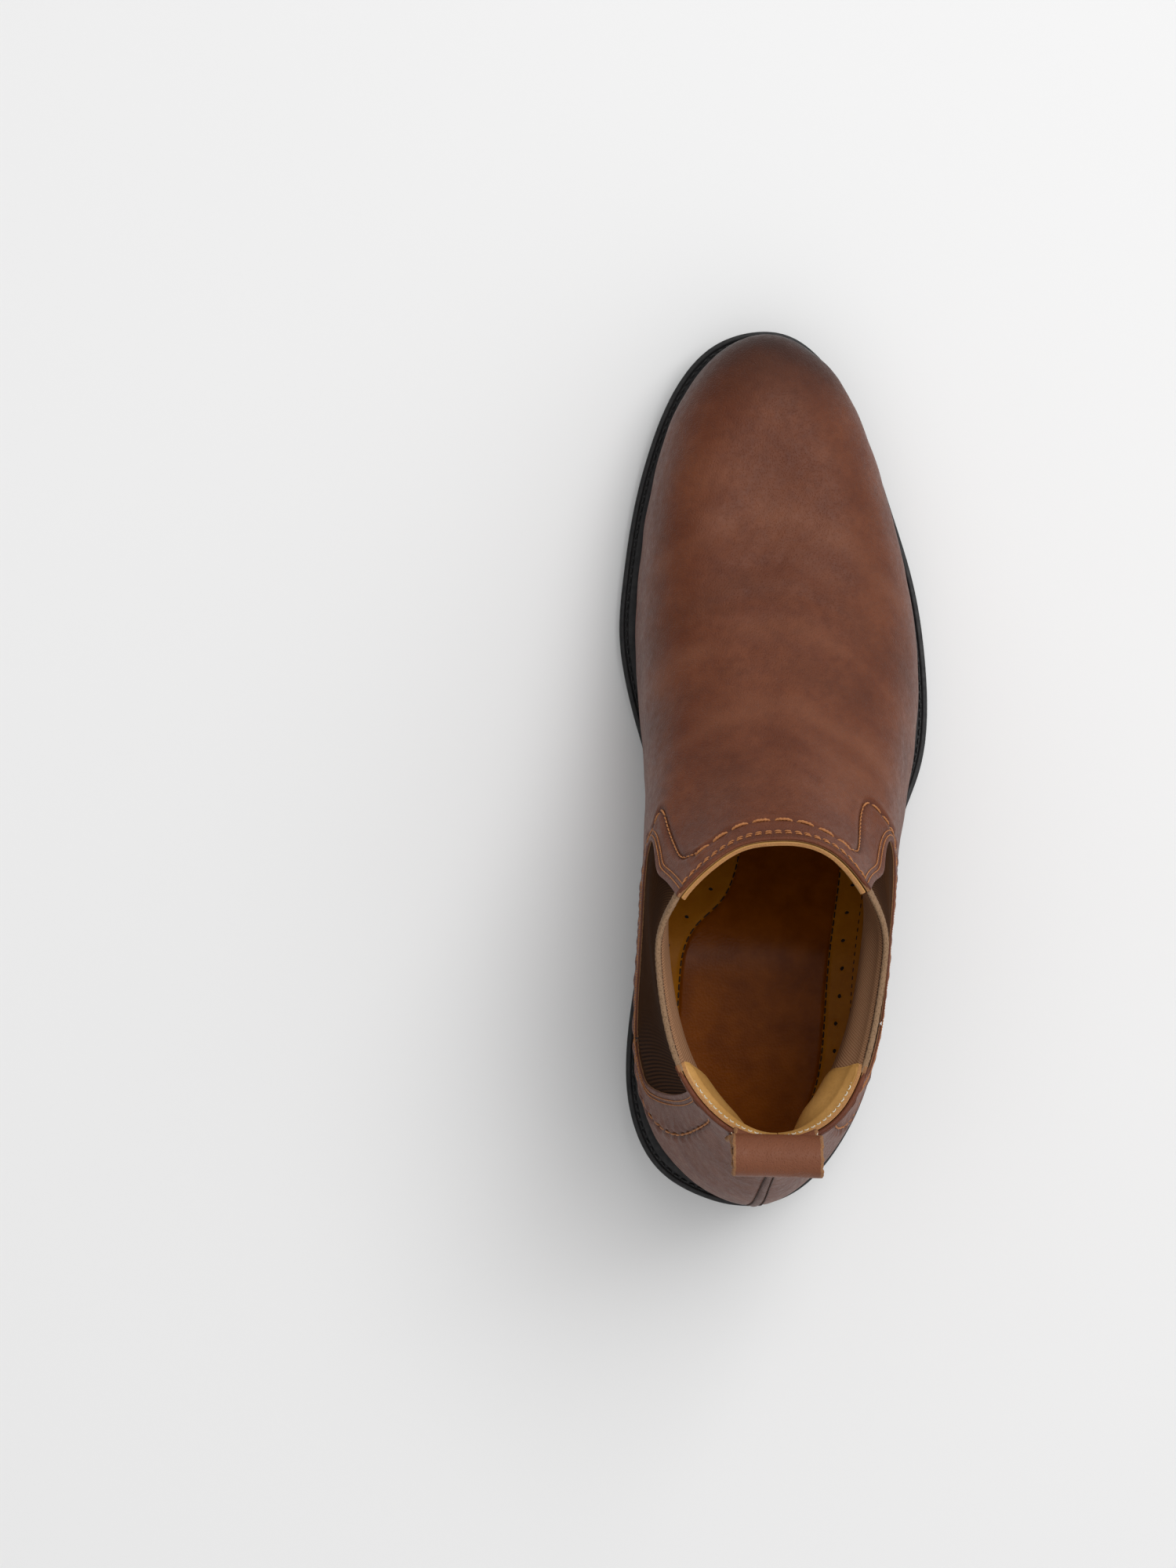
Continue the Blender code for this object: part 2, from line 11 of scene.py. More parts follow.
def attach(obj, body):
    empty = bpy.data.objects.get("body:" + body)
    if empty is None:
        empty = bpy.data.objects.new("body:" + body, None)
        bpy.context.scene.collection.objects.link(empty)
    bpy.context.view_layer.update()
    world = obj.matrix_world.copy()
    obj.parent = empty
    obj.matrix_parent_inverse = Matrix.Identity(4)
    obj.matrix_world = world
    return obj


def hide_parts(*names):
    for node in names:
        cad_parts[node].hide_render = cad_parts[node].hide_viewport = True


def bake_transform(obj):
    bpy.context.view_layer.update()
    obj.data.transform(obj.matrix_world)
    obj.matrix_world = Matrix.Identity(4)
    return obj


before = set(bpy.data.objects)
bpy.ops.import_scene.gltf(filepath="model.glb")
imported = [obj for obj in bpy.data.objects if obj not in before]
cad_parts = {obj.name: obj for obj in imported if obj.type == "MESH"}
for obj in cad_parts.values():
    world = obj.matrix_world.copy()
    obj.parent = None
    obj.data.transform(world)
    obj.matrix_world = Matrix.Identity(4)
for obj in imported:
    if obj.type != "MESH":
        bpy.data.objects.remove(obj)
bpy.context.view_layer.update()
scene = bpy.context.scene
MM = 0.001
rng = np.random.default_rng(7)

# ------------------------------------------------------------------ the boot's own shape, millimetres
SHIFT = np.array([-0.02, -1.05, 0.0])  # from the boot's own origin to the frame's
OUTSOLE_THICK, WELT_THICK, GAP, FOOT_GAP = 5.0, 3.0, 0.3, 0.8
HEEL_LIFT, TOE_SPRING, HEEL_BREAST_Y, TOP_LIFT = 21.0, 9.0, -72.0, 6.0
PAD_DEPTH, LEATHER_THICK, LINING_THICK, LINING_DEPTH = 5.0, 1.6, 1.35, 3.2
TAB_X, TAB_WIDTH, TAB_THICK = -5.5, 28.0, 1.5
TAB_HINGE = (-117.8, 145.6)  # y, z

# The upper is a spline surface over eight rings of 16 points. Each ring starts at the toe and runs down the
# lateral side. A place on it is (u, v): u is 0 to 16 round a ring, v is 0 at the sole to 7 at the topline.
OUTLINE = [
    (-5, 150.9), (9.5, 147.2), (21.8, 134.8), (31.5, 117), (40.5, 91),
    (48.4, 65), (52.4, 40), (53.3, 18), (50.3, -1.5), (42.6, -22),
    (37, -48), (35.4, -76), (32.6, -102), (24, -124), (9.5, -142),
    (-9, -148.8), (-27, -145), (-41.5, -135), (-49.5, -118), (-51.2, -98),
    (-48.5, -74), (-44, -48), (-41.5, -22), (-43.4, 0), (-48.2, 18),
    (-53, 42), (-52.3, 64), (-48.8, 88), (-43.2, 110), (-35, 130),
    (-22, 145.4),
]
FEATHER = [
    (-4.5, 145), (18, 132), (34, 96), (46, 45), (43, -1), (35.5, -42), (32, -82),
    (19, -123), (-9, -142.5), (-37.5, -125.5), (-46, -88), (-41.5, -42), (-41, -1),
    (-46, 45), (-40, 96), (-26, 131),
]
LOW = [
    (-4.5, 148, 7), (20, 134, 7), (36.2, 97, 7), (47.7, 45, 7), (45.2, -1, 8), (37.8, -42, 8),
    (34.6, -82, 9), (20.6, -124.5, 9), (-9, -145.6, 9), (-39.4, -127, 9), (-48.4, -88, 9),
    (-44, -42, 8), (-43.6, -1, 8), (-47.6, 45, 7), (-41.8, 97, 7), (-27.6, 133, 7),
]
BULGE = [
    (-4.5, 148, 33), (20, 133.5, 33), (36.4, 96, 31), (48, 44, 28), (45.3, -2, 36),
    (38.2, -43, 47), (35, -83, 51), (20.4, -124, 54), (-8.8, -145.8, 56), (-38.6, -126, 54),
    (-48.3, -88, 51), (-46.6, -43, 48), (-45, -2, 38), (-47.4, 44, 30), (-41.8, 96, 31),
    (-27.4, 132.5, 33),
]
MID = [
    (-4.6, 134, 46.5), (14.5, 121, 47), (32, 89, 47), (44, 40, 47), (41.5, -6, 58),
    (37.2, -46, 70), (32.2, -84, 74), (18, -119.5, 78), (-7.8, -141.5, 80), (-33.8, -121.5, 78),
    (-45, -87, 74), (-46.8, -46, 71), (-44.8, -6, 60), (-45, 40, 50), (-37.5, 89, 48),
    (-22.5, 121, 47),
]
UPPER = [
    (-5, 92, 54.5), (8.5, 83, 56), (21.5, 58, 61), (32.6, 19, 71), (36, -17, 84),
    (34.8, -50, 93), (28.6, -85.5, 99), (15, -115.5, 103), (-6.5, -133.5, 105), (-28.4, -117, 103),
    (-41, -87.5, 99), (-46, -50, 94), (-44, -17, 86), (-37.8, 19, 75), (-27.6, 58, 64.5),
    (-16.8, 83, 57.5),
]
INSTEP = [
    (-5.5, 30, 79.5), (4.8, 25, 81.5), (15, 12, 86), (25, -6.5, 93), (32.8, -32, 104),
    (32.6, -56.5, 111), (26.2, -88, 118), (13, -113.5, 123), (-5.2, -126, 125.5),
    (-24, -114, 123), (-38.8, -89, 118.5), (-44.8, -56.5, 112), (-43.6, -32, 106), (-36.2, -6.5, 96),
    (-25.8, 12, 88.5), (-16.2, 25, 83),
]
SHAFT = [
    (-6, -2, 106), (4.2, -4, 107), (14.6, -11.5, 108.5), (24.2, -24.5, 112), (31.6, -43, 118),
    (31.6, -62, 121.5), (25.4, -90.8, 127.5), (13.2, -112.6, 132.5), (-4.8, -121.5, 134.5),
    (-23.4, -113, 132.5), (-37.8, -90.8, 128), (-43.6, -62, 122), (-42.8, -43, 119), (-36, -25, 113),
    (-25.8, -12.5, 110), (-15.8, -4.4, 107.5),
]
TOPLINE = [
    (-5.6, -21.4, 135), (4.6, -21.9, 135), (15, -26.4, 134.7), (24.4, -36.8, 133.5), (30.6, -50, 131.5),
    (30.3, -66, 131.5), (24.6, -93.2, 136), (13.2, -112, 140.5), (-4.5, -118.2, 142),
    (-22.6, -112.4, 140.5), (-37.4, -92.8, 136), (-43, -66, 131.5), (-42.4, -51, 131.5),
    (-35.6, -38.6, 133.5), (-25.4, -28.6, 134.7), (-15.6, -23, 135),
]
# the edges of the elastic gore, as (v, u)
GORE_FRONT = [(1.93, 6.05), (2.2, 5.76), (2.6, 5.45), (3.15, 5.05), (3.6, 4.64), (4.4, 4.03), (4.9, 3.88),
              (5.4, 3.83), (6, 3.58), (7, 3.12)]
GORE_REAR = [(1.93, 6.08), (2.1, 6.28), (2.5, 6.46), (3.2, 6.55), (4.15, 6.55), (5.5, 6.38), (7, 6.02)]


def unit(n):
    return n / np.linalg.norm(n, axis=-1)[..., None]


def arc_length(p):
    """Distance along a polyline, at each of its points."""
    return np.concatenate([[0], np.cumsum(np.linalg.norm(np.diff(p, axis=0), axis=1))])


def closed_moments(pts):
    n = len(pts)
    lhs = 4.0 * np.eye(n) + np.roll(np.eye(n), 1, axis=1) + np.roll(np.eye(n), -1, axis=1)
    return np.linalg.solve(lhs, 6.0 * (np.roll(pts, -1, axis=0) - 2.0 * pts + np.roll(pts, 1, axis=0)))


def periodic(points, at, m=None):
    """C2 closed cubic spline with even knots."""
    pts = np.asarray(points, float)
    m = closed_moments(pts) if m is None else m
    n = len(pts)
    t = np.mod(np.asarray(at, float), n)
    i = np.floor(t).astype(int) % n
    f = (t - np.floor(t))[..., None]
    j = (i + 1) % n
    bend = m[i] * (1 - f) ** 3 / 6 + m[j] * f ** 3 / 6
    return bend + (pts[i] - m[i] / 6) * (1 - f) + (pts[j] - m[j] / 6) * f


def open_moments(x, y):
    n = len(x)
    h = np.diff(x)
    lhs = np.eye(n)
    rhs = np.zeros((n,) + y.shape[1:])
    for i in range(1, n - 1):
        lhs[i, i - 1], lhs[i, i], lhs[i, i + 1] = h[i - 1], 2 * (h[i - 1] + h[i]), h[i]
        rhs[i] = 6 * ((y[i + 1] - y[i]) / h[i] - (y[i] - y[i - 1]) / h[i - 1])
    return np.linalg.solve(lhs, rhs)


def open_spline(knots, values, at):
    """Natural cubic spline; at may be an array."""
    x, y = np.asarray(knots, float), np.asarray(values, float)
    m = open_moments(x, y)
    at = np.asarray(at, float)
    k = np.clip(np.searchsorted(x, at, side="right") - 1, 0, len(x) - 2)
    h = x[k + 1] - x[k]
    a, b = (x[k + 1] - at) / h, (at - x[k]) / h
    if y.ndim > 1:
        a, b, h = a[..., None], b[..., None], h[..., None]
    return a * y[k] + b * y[k + 1] + ((a ** 3 - a) * m[k] + (b ** 3 - b) * m[k + 1]) * h ** 2 / 6


def smooth(t):
    t = np.clip(t, 0.0, 1.0)
    return t * t * (3 - 2 * t)


def bump(x, centre, width):
    return np.exp(-((x - centre) / width) ** 2)


def sole_z(y):
    y = np.asarray(y, float)
    return TOE_SPRING * np.clip((y - 75.0) / 75.0, 0, None) ** 2 + HEEL_LIFT * smooth((-2.0 - y) / 68.0)


def seat_z(y):
    return sole_z(y) + OUTSOLE_THICK + GAP + WELT_THICK


RINGS = np.array(
    [[(x, y, float(seat_z(y)) + FOOT_GAP) for x, y in FEATHER], [(x, y, float(seat_z(y)) + dz) for x, y, dz in LOW],
     BULGE, MID, UPPER, INSTEP, SHAFT, TOPLINE], float)
KNOTS = np.vstack([np.zeros(16), np.cumsum(np.linalg.norm(np.diff(RINGS, axis=0), axis=2) ** 0.75, axis=0)])
COLUMN_M = np.stack([open_moments(KNOTS[:, c], RINGS[:, c]) for c in range(16)], axis=1)
FOOT_M = closed_moments(RINGS[0])
ring_store = {}


def ring_at(v):
    key = round(float(v), 6)
    if key not in ring_store:
        k = min(int(v), 6)
        h = KNOTS[k + 1] - KNOTS[k]
        b = (v - k) * np.ones(16)
        a = 1 - b
        bend = ((a ** 3 - a)[:, None] * COLUMN_M[k] + (b ** 3 - b)[:, None] * COLUMN_M[k + 1]) * (h ** 2)[:, None] / 6
        pts = a[:, None] * RINGS[k] + b[:, None] * RINGS[k + 1] + bend
        ring_store[key] = (pts, closed_moments(pts))
    return ring_store[key]


def surface(u, v):
    """The upper's outer surface for an array of u at one height v."""
    pts, m = ring_at(v)
    here = periodic(pts, u, m)
    foot = periodic(RINGS[0], u, FOOT_M)
    here[..., 2] += (seat_z(foot[..., 1]) + FOOT_GAP - foot[..., 2]) * max(0.0, 1 - v / 3.0) ** 2
    return here


def frame_at(u, v, eps=0.01):
    """Points, outward normals and tangents up the surface, for an array of u at one height v."""
    lo, hi = max(v - eps, 0.0), min(v + eps, 7.0)
    du = (surface(u + eps, v) - surface(u - eps, v)) / (2 * eps)
    dv = (surface(u, hi) - surface(u, lo)) / (hi - lo)
    return surface(u, v), unit(np.cross(dv, du)), dv


def gore_edges(v):
    if v <= GORE_FRONT[0][0]:
        return 6.05, 6.07
    f, r = np.array(GORE_FRONT), np.array(GORE_REAR)
    return float(open_spline(f[:, 0], f[:, 1], v)), float(open_spline(r[:, 0], r[:, 1], v))


# ------------------------------------------------------------------ the surface as a fine table
GU, GV = 1280, 561
GP, GN, GD = (np.zeros((GV, GU, 3)) for _ in range(3))  # points, outward normals, tangents up the surface
GE = np.zeros((GV, 2))  # the gore's front and rear edge
for k in range(GV):
    height = 7.0 * k / (GV - 1)
    GP[k], GN[k], GD[k] = frame_at(np.arange(GU) * 16.0 / GU, height)
    GE[k] = gore_edges(height)
V_TABLE = np.linspace(0, 7, GV)


def cell(u, v):
    u, v = np.broadcast_arrays(np.asarray(u, float), np.asarray(v, float))
    a = np.mod(u, 16) / 16 * GU
    i = np.floor(a).astype(int)
    b = np.clip(v, 0, 7) / 7 * (GV - 1)
    k = np.minimum(np.floor(b).astype(int), GV - 2)
    return i % GU, (i + 1) % GU, k, (a - i)[..., None], (b - k)[..., None], v


def blend_cell(table, i, j, k, f, g):
    low, high = (table[r, i] * (1 - f) + table[r, j] * f for r in (k, k + 1))
    return low * (1 - g) + high * g


def at(u, v, depth=0.0):
    """Points of the upper, depth under its outer surface, and the outward normals; v may pass 7 by a little."""
    i, j, k, f, g, v = cell(u, v)
    p, n = blend_cell(GP, i, j, k, f, g), unit(blend_cell(GN, i, j, k, f, g))
    over = np.maximum(v - 7.0, 0)[..., None]
    p = p + blend_cell(GD, i, j, k, f, g) * over
    return p - n * np.asarray(depth, float)[..., None], n


def slopes(u, v):
    """How the surface's points move with u and with v."""
    d = 0.02
    hi = np.minimum(v + d, 7)
    return (at(u + d, v)[0] - at(u - d, v)[0]) / (2 * d), (at(u, hi)[0] - at(u, v - d)[0]) / (hi - v + d)[..., None]


def on_side(u, sign):
    """u on the lateral side for 1, mirrored to the medial side for -1."""
    return u if sign > 0 else 16 - u


def gore_front(v):
    return np.interp(v, V_TABLE, GE[:, 0])


def gore_rear(v):
    return np.interp(v, V_TABLE, GE[:, 1])


def pads(u, v):
    """Thickness of the collar's padding: full beside the gores, thin at the heel, none at the front."""
    u, v = np.broadcast_arrays(np.asarray(u, float), np.asarray(v, float))
    rise = smooth((7 - v) / 1.7) * smooth((v - 1.3) / 2.4)
    w = np.mod(u + 8, 16) - 8
    a = np.abs(w)
    fr, re = gore_front(v), gore_rear(v)
    s = np.where(a < fr, a / fr * 4.5, np.where(a < re, 4.5 + (a - fr) / np.maximum(re - fr, 1e-6),
                                                5.5 + (a - re) / (8 - re) * 2.5))
    full = np.where(w < 0, 16 - s, s)
    medial = 1 - 0.5 * smooth((full - 7.4) / 1.2)
    return PAD_DEPTH * rise * smooth((s - 3.4) / 1.1) * (1 - 0.8 * smooth((s - 6.4) / 1.2)) * medial


# ------------------------------------------------------------------ meshes
def solid(name, verts, faces, mats, which=None, tone=None, body="boot"):
    """A mesh object from points in millimetres, with a clean set of faces."""
    pts = (np.asarray(verts, float).reshape(-1, 3) + SHIFT) * MM
    me = bpy.data.meshes.new(name)
    me.from_pydata(pts.tolist(), [], [tuple(int(i) for i in f) for f in faces])
    for m in mats:
        me.materials.append(m)
    if which is not None:
        me.polygons.foreach_set("material_index", np.asarray(which, np.int32))
    if tone is not None:
        layer = me.attributes.new("tone", "FLOAT", "POINT")
        layer.data.foreach_set("value", np.asarray(tone, np.float32).ravel())
    bm = bmesh.new()
    bm.from_mesh(me)
    bmesh.ops.remove_doubles(bm, verts=bm.verts, dist=2e-6)
    bmesh.ops.dissolve_degenerate(bm, edges=bm.edges, dist=1e-7)
    bmesh.ops.recalc_face_normals(bm, faces=bm.faces)
    bm.to_mesh(me)
    bm.free()
    me.shade_smooth()
    me.set_sharp_from_angle(angle=math.radians(50))
    obj = bpy.data.objects.new(name, me)
    scene.collection.objects.link(obj)
    if body:
        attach(obj, body)
    return obj


def quads(rows, cols, base=0, wrap=False):
    r, c = np.meshgrid(np.arange(rows - 1), np.arange(cols if wrap else cols - 1), indexing="ij")
    d = (c + 1) % cols
    return np.stack([r * cols + c, r * cols + d, (r + 1) * cols + d, (r + 1) * cols + c], -1).reshape(-1, 4) + base


def border(nr, nc):
    """Row and column numbers round the edge of a grid."""
    ring = [(0, c) for c in range(nc)] + [(r, nc - 1) for r in range(1, nr)]
    ring += [(nr - 1, c) for c in range(nc - 2, -1, -1)] + [(r, 0) for r in range(nr - 2, 0, -1)]
    return np.array(ring).T


EDGE = np.array([0.0, 0.1, 0.25, 0.5, 0.9, 1.5])  # grid lines near a cut edge
V_MM = 25.0  # about how long one step of u or v is


def ends_first(length, count):
    """Fractions from 0 to 1 that crowd towards both ends."""
    e = EDGE / length
    return np.concatenate([e, np.linspace(e[-1], 1 - e[-1], count)[1:-1], 1 - e[::-1]])


def shell(name, lo, hi, v0, v1, cols, rows, depth, thick, mats, relief=None, radius=0.5, tone=None):
    """A leather panel on the upper: outer face, rounded rim, cut edge and a short return behind it."""
    tv = ends_first(V_MM * (v1 - v0), rows)
    v = v0 + (v1 - v0) * tv
    a, b = lo(v), hi(v)
    spans = at(a[:, None] + (b - a)[:, None] * np.linspace(0, 1, 30), v[:, None])[0]
    wide = np.linalg.norm(np.diff(spans, axis=1), axis=2).sum(1)
    grid = np.array([ends_first(max(w, 6.0), cols) for w in wide])
    u = a[:, None] + (b - a)[:, None] * grid
    vv = np.repeat(v[:, None], u.shape[1], axis=1)
    du = np.minimum(grid, 1 - grid) * wide[:, None]
    dv = np.minimum(tv, 1 - tv)[:, None] * V_MM * (v1 - v0) + np.zeros_like(u)
    near = np.minimum(du, dv)
    miss = np.clip(radius - near, 0, radius)
    drop = radius - np.sqrt(np.maximum(radius ** 2 - miss ** 2, 0))
    dep = (depth(u, vv) if callable(depth) else depth) + np.zeros_like(u)
    p, n = at(u, vv, dep + drop)
    if relief:
        p = p + n * (relief(u, vv) * smooth(near / 1.2))[..., None]
    nr, nc = u.shape
    ri, ci = border(nr, nc)
    inset = 7
    ri2, ci2 = np.clip(ri, inset, nr - 1 - inset), np.clip(ci, inset, nc - 1 - inset)
    under = at(u[ri, ci], vv[ri, ci], dep[ri, ci] + thick)[0]
    back = at(u[ri2, ci2], vv[ri2, ci2], dep[ri2, ci2] + thick)[0]
    count, first = len(ri), nr * nc
    outer, here = ri * nc + ci, np.arange(count)
    nxt = np.roll(here, -1)
    faces = [quads(nr, nc), np.stack([outer, outer[nxt], first + nxt, first + here], -1),
             np.stack([first + here, first + nxt, first + count + nxt, first + count + here], -1)]
    which = np.concatenate([np.zeros(len(faces[0])), np.ones(2 * count)])
    shade = tone(u, vv, p) if tone else np.zeros_like(u)
    shades = np.concatenate([shade.ravel(), shade[ri, ci], shade[ri, ci]])
    return solid(name, np.vstack([p.reshape(-1, 3), under, back]), np.vstack(faces), mats, which, shades)


def tube(points, radius, sides=8, normal=None, wobble=None):
    """Points, faces and number of sides of a tube along a polyline; radius may be an array."""
    p = np.asarray(points, float)
    r = np.broadcast_to(np.asarray(radius, float), len(p))
    d = unit(np.gradient(p, axis=0))
    ref = np.broadcast_to(np.array([0, 0, 1.0]) if normal is None else normal, p.shape)
    side = np.cross(d, ref)
    side /= np.maximum(np.linalg.norm(side, axis=1), 1e-9)[:, None]
    up = np.cross(side, d)
    a = np.linspace(0, 2 * math.pi, sides, endpoint=False)
    rad = r[:, None] * (1 if wobble is None else wobble(np.arange(len(p))[:, None], a[None]))
    ring = p[:, None] + side[:, None] * (rad * np.cos(a))[..., None] + up[:, None] * (rad * np.sin(a))[..., None]
    return ring.reshape(-1, 3), quads(len(p), sides, wrap=True), sides


def stack(name, pieces, mats):
    """One object from many tubes, each with both ends capped."""
    verts, faces, base = [], [], 0
    for pts, f, n in pieces:
        verts.append(pts)
        faces += (f + base).tolist()
        faces.append([base + i for i in range(n)][::-1])
        faces.append([base + len(pts) - n + i for i in range(n)])
        base += len(pts)
    return solid(name, np.vstack(verts), faces, mats)


# ------------------------------------------------------------------ rows of stitches
class Row:
    """A sewn line on the upper: even steps of arc length through (u, v) way points."""

    def __init__(self, uv, raw=False):
        uv = np.asarray(uv, float)
        if not raw:
            chord = arc_length(uv * [V_MM, V_MM])
            uv = open_spline(chord, uv, np.linspace(0, chord[-1], 600))
        s = arc_length(at(uv[:, 0], uv[:, 1])[0])
        self.length = s[-1]
        self.s = np.arange(0, self.length, 0.25)
        self.u, self.v = np.interp(self.s, s, uv[:, 0]), np.interp(self.s, s, uv[:, 1])

    def uv(self, s):
        return np.interp(s, self.s, self.u), np.interp(s, self.s, self.v)


def gore_path(offset, sign, top=6.98):
    """The line that runs round a gore at a distance from its edge, from the front corner to the rear one."""
    vf = np.linspace(top, 1.95, 160)
    vr = np.linspace(1.95, top, 160)
    u = np.concatenate([gore_front(vf), gore_rear(vr)])
    v = np.concatenate([vf, vr])
    k = offset / 4
    for _ in range(4):
        pu, pv = slopes(u, v)
        p, n = at(u, v)
        out = np.cross(n, unit(np.gradient(p, axis=0)))
        a, b, c = np.sum(pu * pu, 1), np.sum(pu * pv, 1), np.sum(pv * pv, 1)
        e, f = np.sum(pu * out, 1), np.sum(pv * out, 1)
        det = a * c - b * b
        u, v = u + k * (c * e - b * f) / det, v + k * (a * f - b * e) / det
        u, v = (np.concatenate([w[:4], np.convolve(w, np.ones(9) / 9, "valid"), w[-4:]]) for w in (u, v))
    keep = v < 6.95
    return np.stack([on_side(u[keep], sign), v[keep]], 1)


def sewn(name, row, pitch, length, radius, mat, lift=0.25, depth=0.0, twist=0, skin=False, s0=0.0, s1=None, sides=8):
    """Stitches along a row: each rises from its hole, lies on the leather and dives again."""
    s1 = row.length if s1 is None else s1
    n = max(1, int((s1 - s0) / pitch))
    k = max(7, int(length / 0.28)) if twist else 7
    t = np.linspace(-0.5, 0.5, k)
    hump = 1 - (2 * np.abs(t)) ** 4
    middle = s0 + (np.arange(n) + 0.5) * (s1 - s0) / n + rng.normal(size=n) * 0.06
    raised = np.zeros(n * k)
    if skin:
        raised = leather_relief(*row.uv((middle[:, None] + t * length).ravel()), False)

    def strands(i, angle):
        return 1 + 0.2 * np.cos(2 * (angle - 2 * math.pi * twist * i / (k - 1) / 2))

    pieces = []
    for a, on in zip(middle, raised.reshape(n, k)):
        p, normal = at(*row.uv(a + t * length), depth - (lift * hump - radius * (1 - hump)) - on)
        pieces.append(tube(p, radius * (0.55 + 0.45 * hump), sides, normal, strands if twist else None))
    obj = stack(name, pieces, [mat])
    return obj


FLANK = [(4.2, 3.95), (4.64, 3.36), (5.15, 2.6), (5.68, 1.9), (6.1, 1.52), (6.55, 1.78), (6.84, 2.35), (6.96, 3.0),
         (6.97, 4.0), (6.87, 5.2), (6.66, 6.2), (6.42, 6.93)]
OUTER = {
    1: [(2.35, 6.64), (2.56, 6.54), (2.74, 6.38), (2.84, 6.1), (2.92, 5.75), (3.02, 5.35), (3.2, 4.98), (3.5, 4.72),
        (3.85, 4.4)] + FLANK,
    -1: [(2.35, 6.64), (2.62, 6.52), (2.84, 6.36), (2.98, 6.1), (3.12, 5.75), (3.25, 5.38), (3.37, 4.98), (3.54, 4.66),
         (3.84, 4.44)] + FLANK,
}


arch_outer = Row([(u, 6.70 - 0.055 * abs(u / 2.4) ** 3) for u in np.linspace(-2.5, 2.5, 21)])
arch_one = Row([(u, 6.925) for u in np.linspace(-2.93, 2.93, 15)])
arch_two = Row([(u, 6.895) for u in np.linspace(-2.88, 2.88, 15)])
SIDES = (("lateral", 1), ("medial", -1))
rows_outer = {s: Row([(on_side(u, k), v) for u, v in OUTER[k]]) for s, k in SIDES}
rows_in = {s: Row(gore_path(2.6, k), raw=True) for s, k in SIDES}
rows_out = {s: Row(gore_path(4.2, k), raw=True) for s, k in SIDES}
back_rows = Row([(7.94, 1.0), (7.94, 6.1)]), Row([(8.06, 1.0), (8.06, 6.1)])
fine_rows = [arch_one, arch_two, *rows_in.values(), *rows_out.values()]


def nearest(rows, pts):
    """Distance to the nearest row and the arc length there, for each point."""
    n = sum(len(r.s) for r in rows)
    tree = KDTree(n)
    where = []
    for r in rows:
        for q, s in zip(at(r.u, r.v)[0], r.s):
            tree.insert(q, len(where))
            where.append(s)
    tree.balance()
    flat = pts.reshape(-1, 3)
    dist, arc = np.full(len(flat), 99.0), np.zeros(len(flat))
    for i, q in enumerate(flat):
        found = tree.find(q)
        dist[i], arc[i] = found[2], where[found[1]]
    return dist.reshape(pts.shape[:-1]), arc.reshape(pts.shape[:-1])


def wander(p, scale, seed, octaves=3):
    """Smooth waves in space, about -1..1."""
    g = np.random.default_rng(seed)
    total, amp = 0.0, 1.0
    for o in range(octaves):
        for _ in range(4):
            k = g.normal(size=3) * (2.0 ** o) / scale
            total = total + amp * np.sin(p @ k + g.uniform(0, 6.28)) / 4
        amp *= 0.55
    return total


def leather_relief(u, v, sewn_marks=True):
    """How far the leather stands off the last: soft undulation, flex creases, sewn dents and puckers."""
    p = at(u, v)[0]
    x, y = p[..., 0], p[..., 1]
    h = 0.22 * wander(p, 9.0, 3) * smooth((v - 0.4) / 0.6)
    across = bump(x, -4, 26) * smooth((v - 2.2) / 0.8)
    for y0, amp, wid, bow in ((58, 0.30, 1.9, 0.010), (50, 0.22, 1.6, 0.012), (69, 0.18, 1.6, 0.008),
                              (40, 0.2, 1.8, 0.014), (29, 0.18, 2.2, 0.018)):
        line = y - (y0 - bow * (x + 5) ** 2 + 1.2 * np.sin(x / 6.5 + y0))
        h = h + amp * across * (0.5 * bump(line, 2.4 * wid, 1.6 * wid) - bump(line, 0, wid))
    # a curved crease and four short ones over the toes
    toe = np.hypot(x + 16, y - 98)
    turn = np.arctan2(y - 98, x + 16)
    h = h - 0.3 * bump(toe, 7, 0.8) * bump(turn, 1.45, 0.62) * smooth((v - 1.5) / 1.0)
    for cx, cy, lean, size in ((-5, 75, 0.8, 4.5), (1, 71, 0.9, 4.0), (-1, 79, -0.7, 3.0), (-13, 84, 0.5, 4.0)):
        run = (x - cx) * math.cos(lean) + (y - cy) * math.sin(lean)
        off = (y - cy) * math.cos(lean) - (x - cx) * math.sin(lean) + 0.06 * run ** 2 / size
        h = h - 0.2 * bump(off, 0, 0.9) * bump(run, 0, size) * smooth((v - 2.5) / 0.8)
    if not sewn_marks:
        return h
    h = h - 0.22 * bump(nearest(fine_rows, p)[0], 0, 0.75)
    d = nearest([arch_outer], p)[0]
    h = h - 0.4 * bump(d, 0, 1.0) + 0.28 * bump(d, 2.2, 1.4)
    d, arc = nearest(list(rows_outer.values()), p)
    swell = np.cos(2 * math.pi * arc / 7.6) * smooth((4.6 - v) / 0.8)
    h = h - 0.55 * bump(d, 0, 0.95) + 0.3 * bump(d, 2.3, 1.5) + 0.32 * swell * bump(d, 0, 3.4)
    return h - 0.3 * bump(nearest(back_rows, p)[0], 0, 0.8)


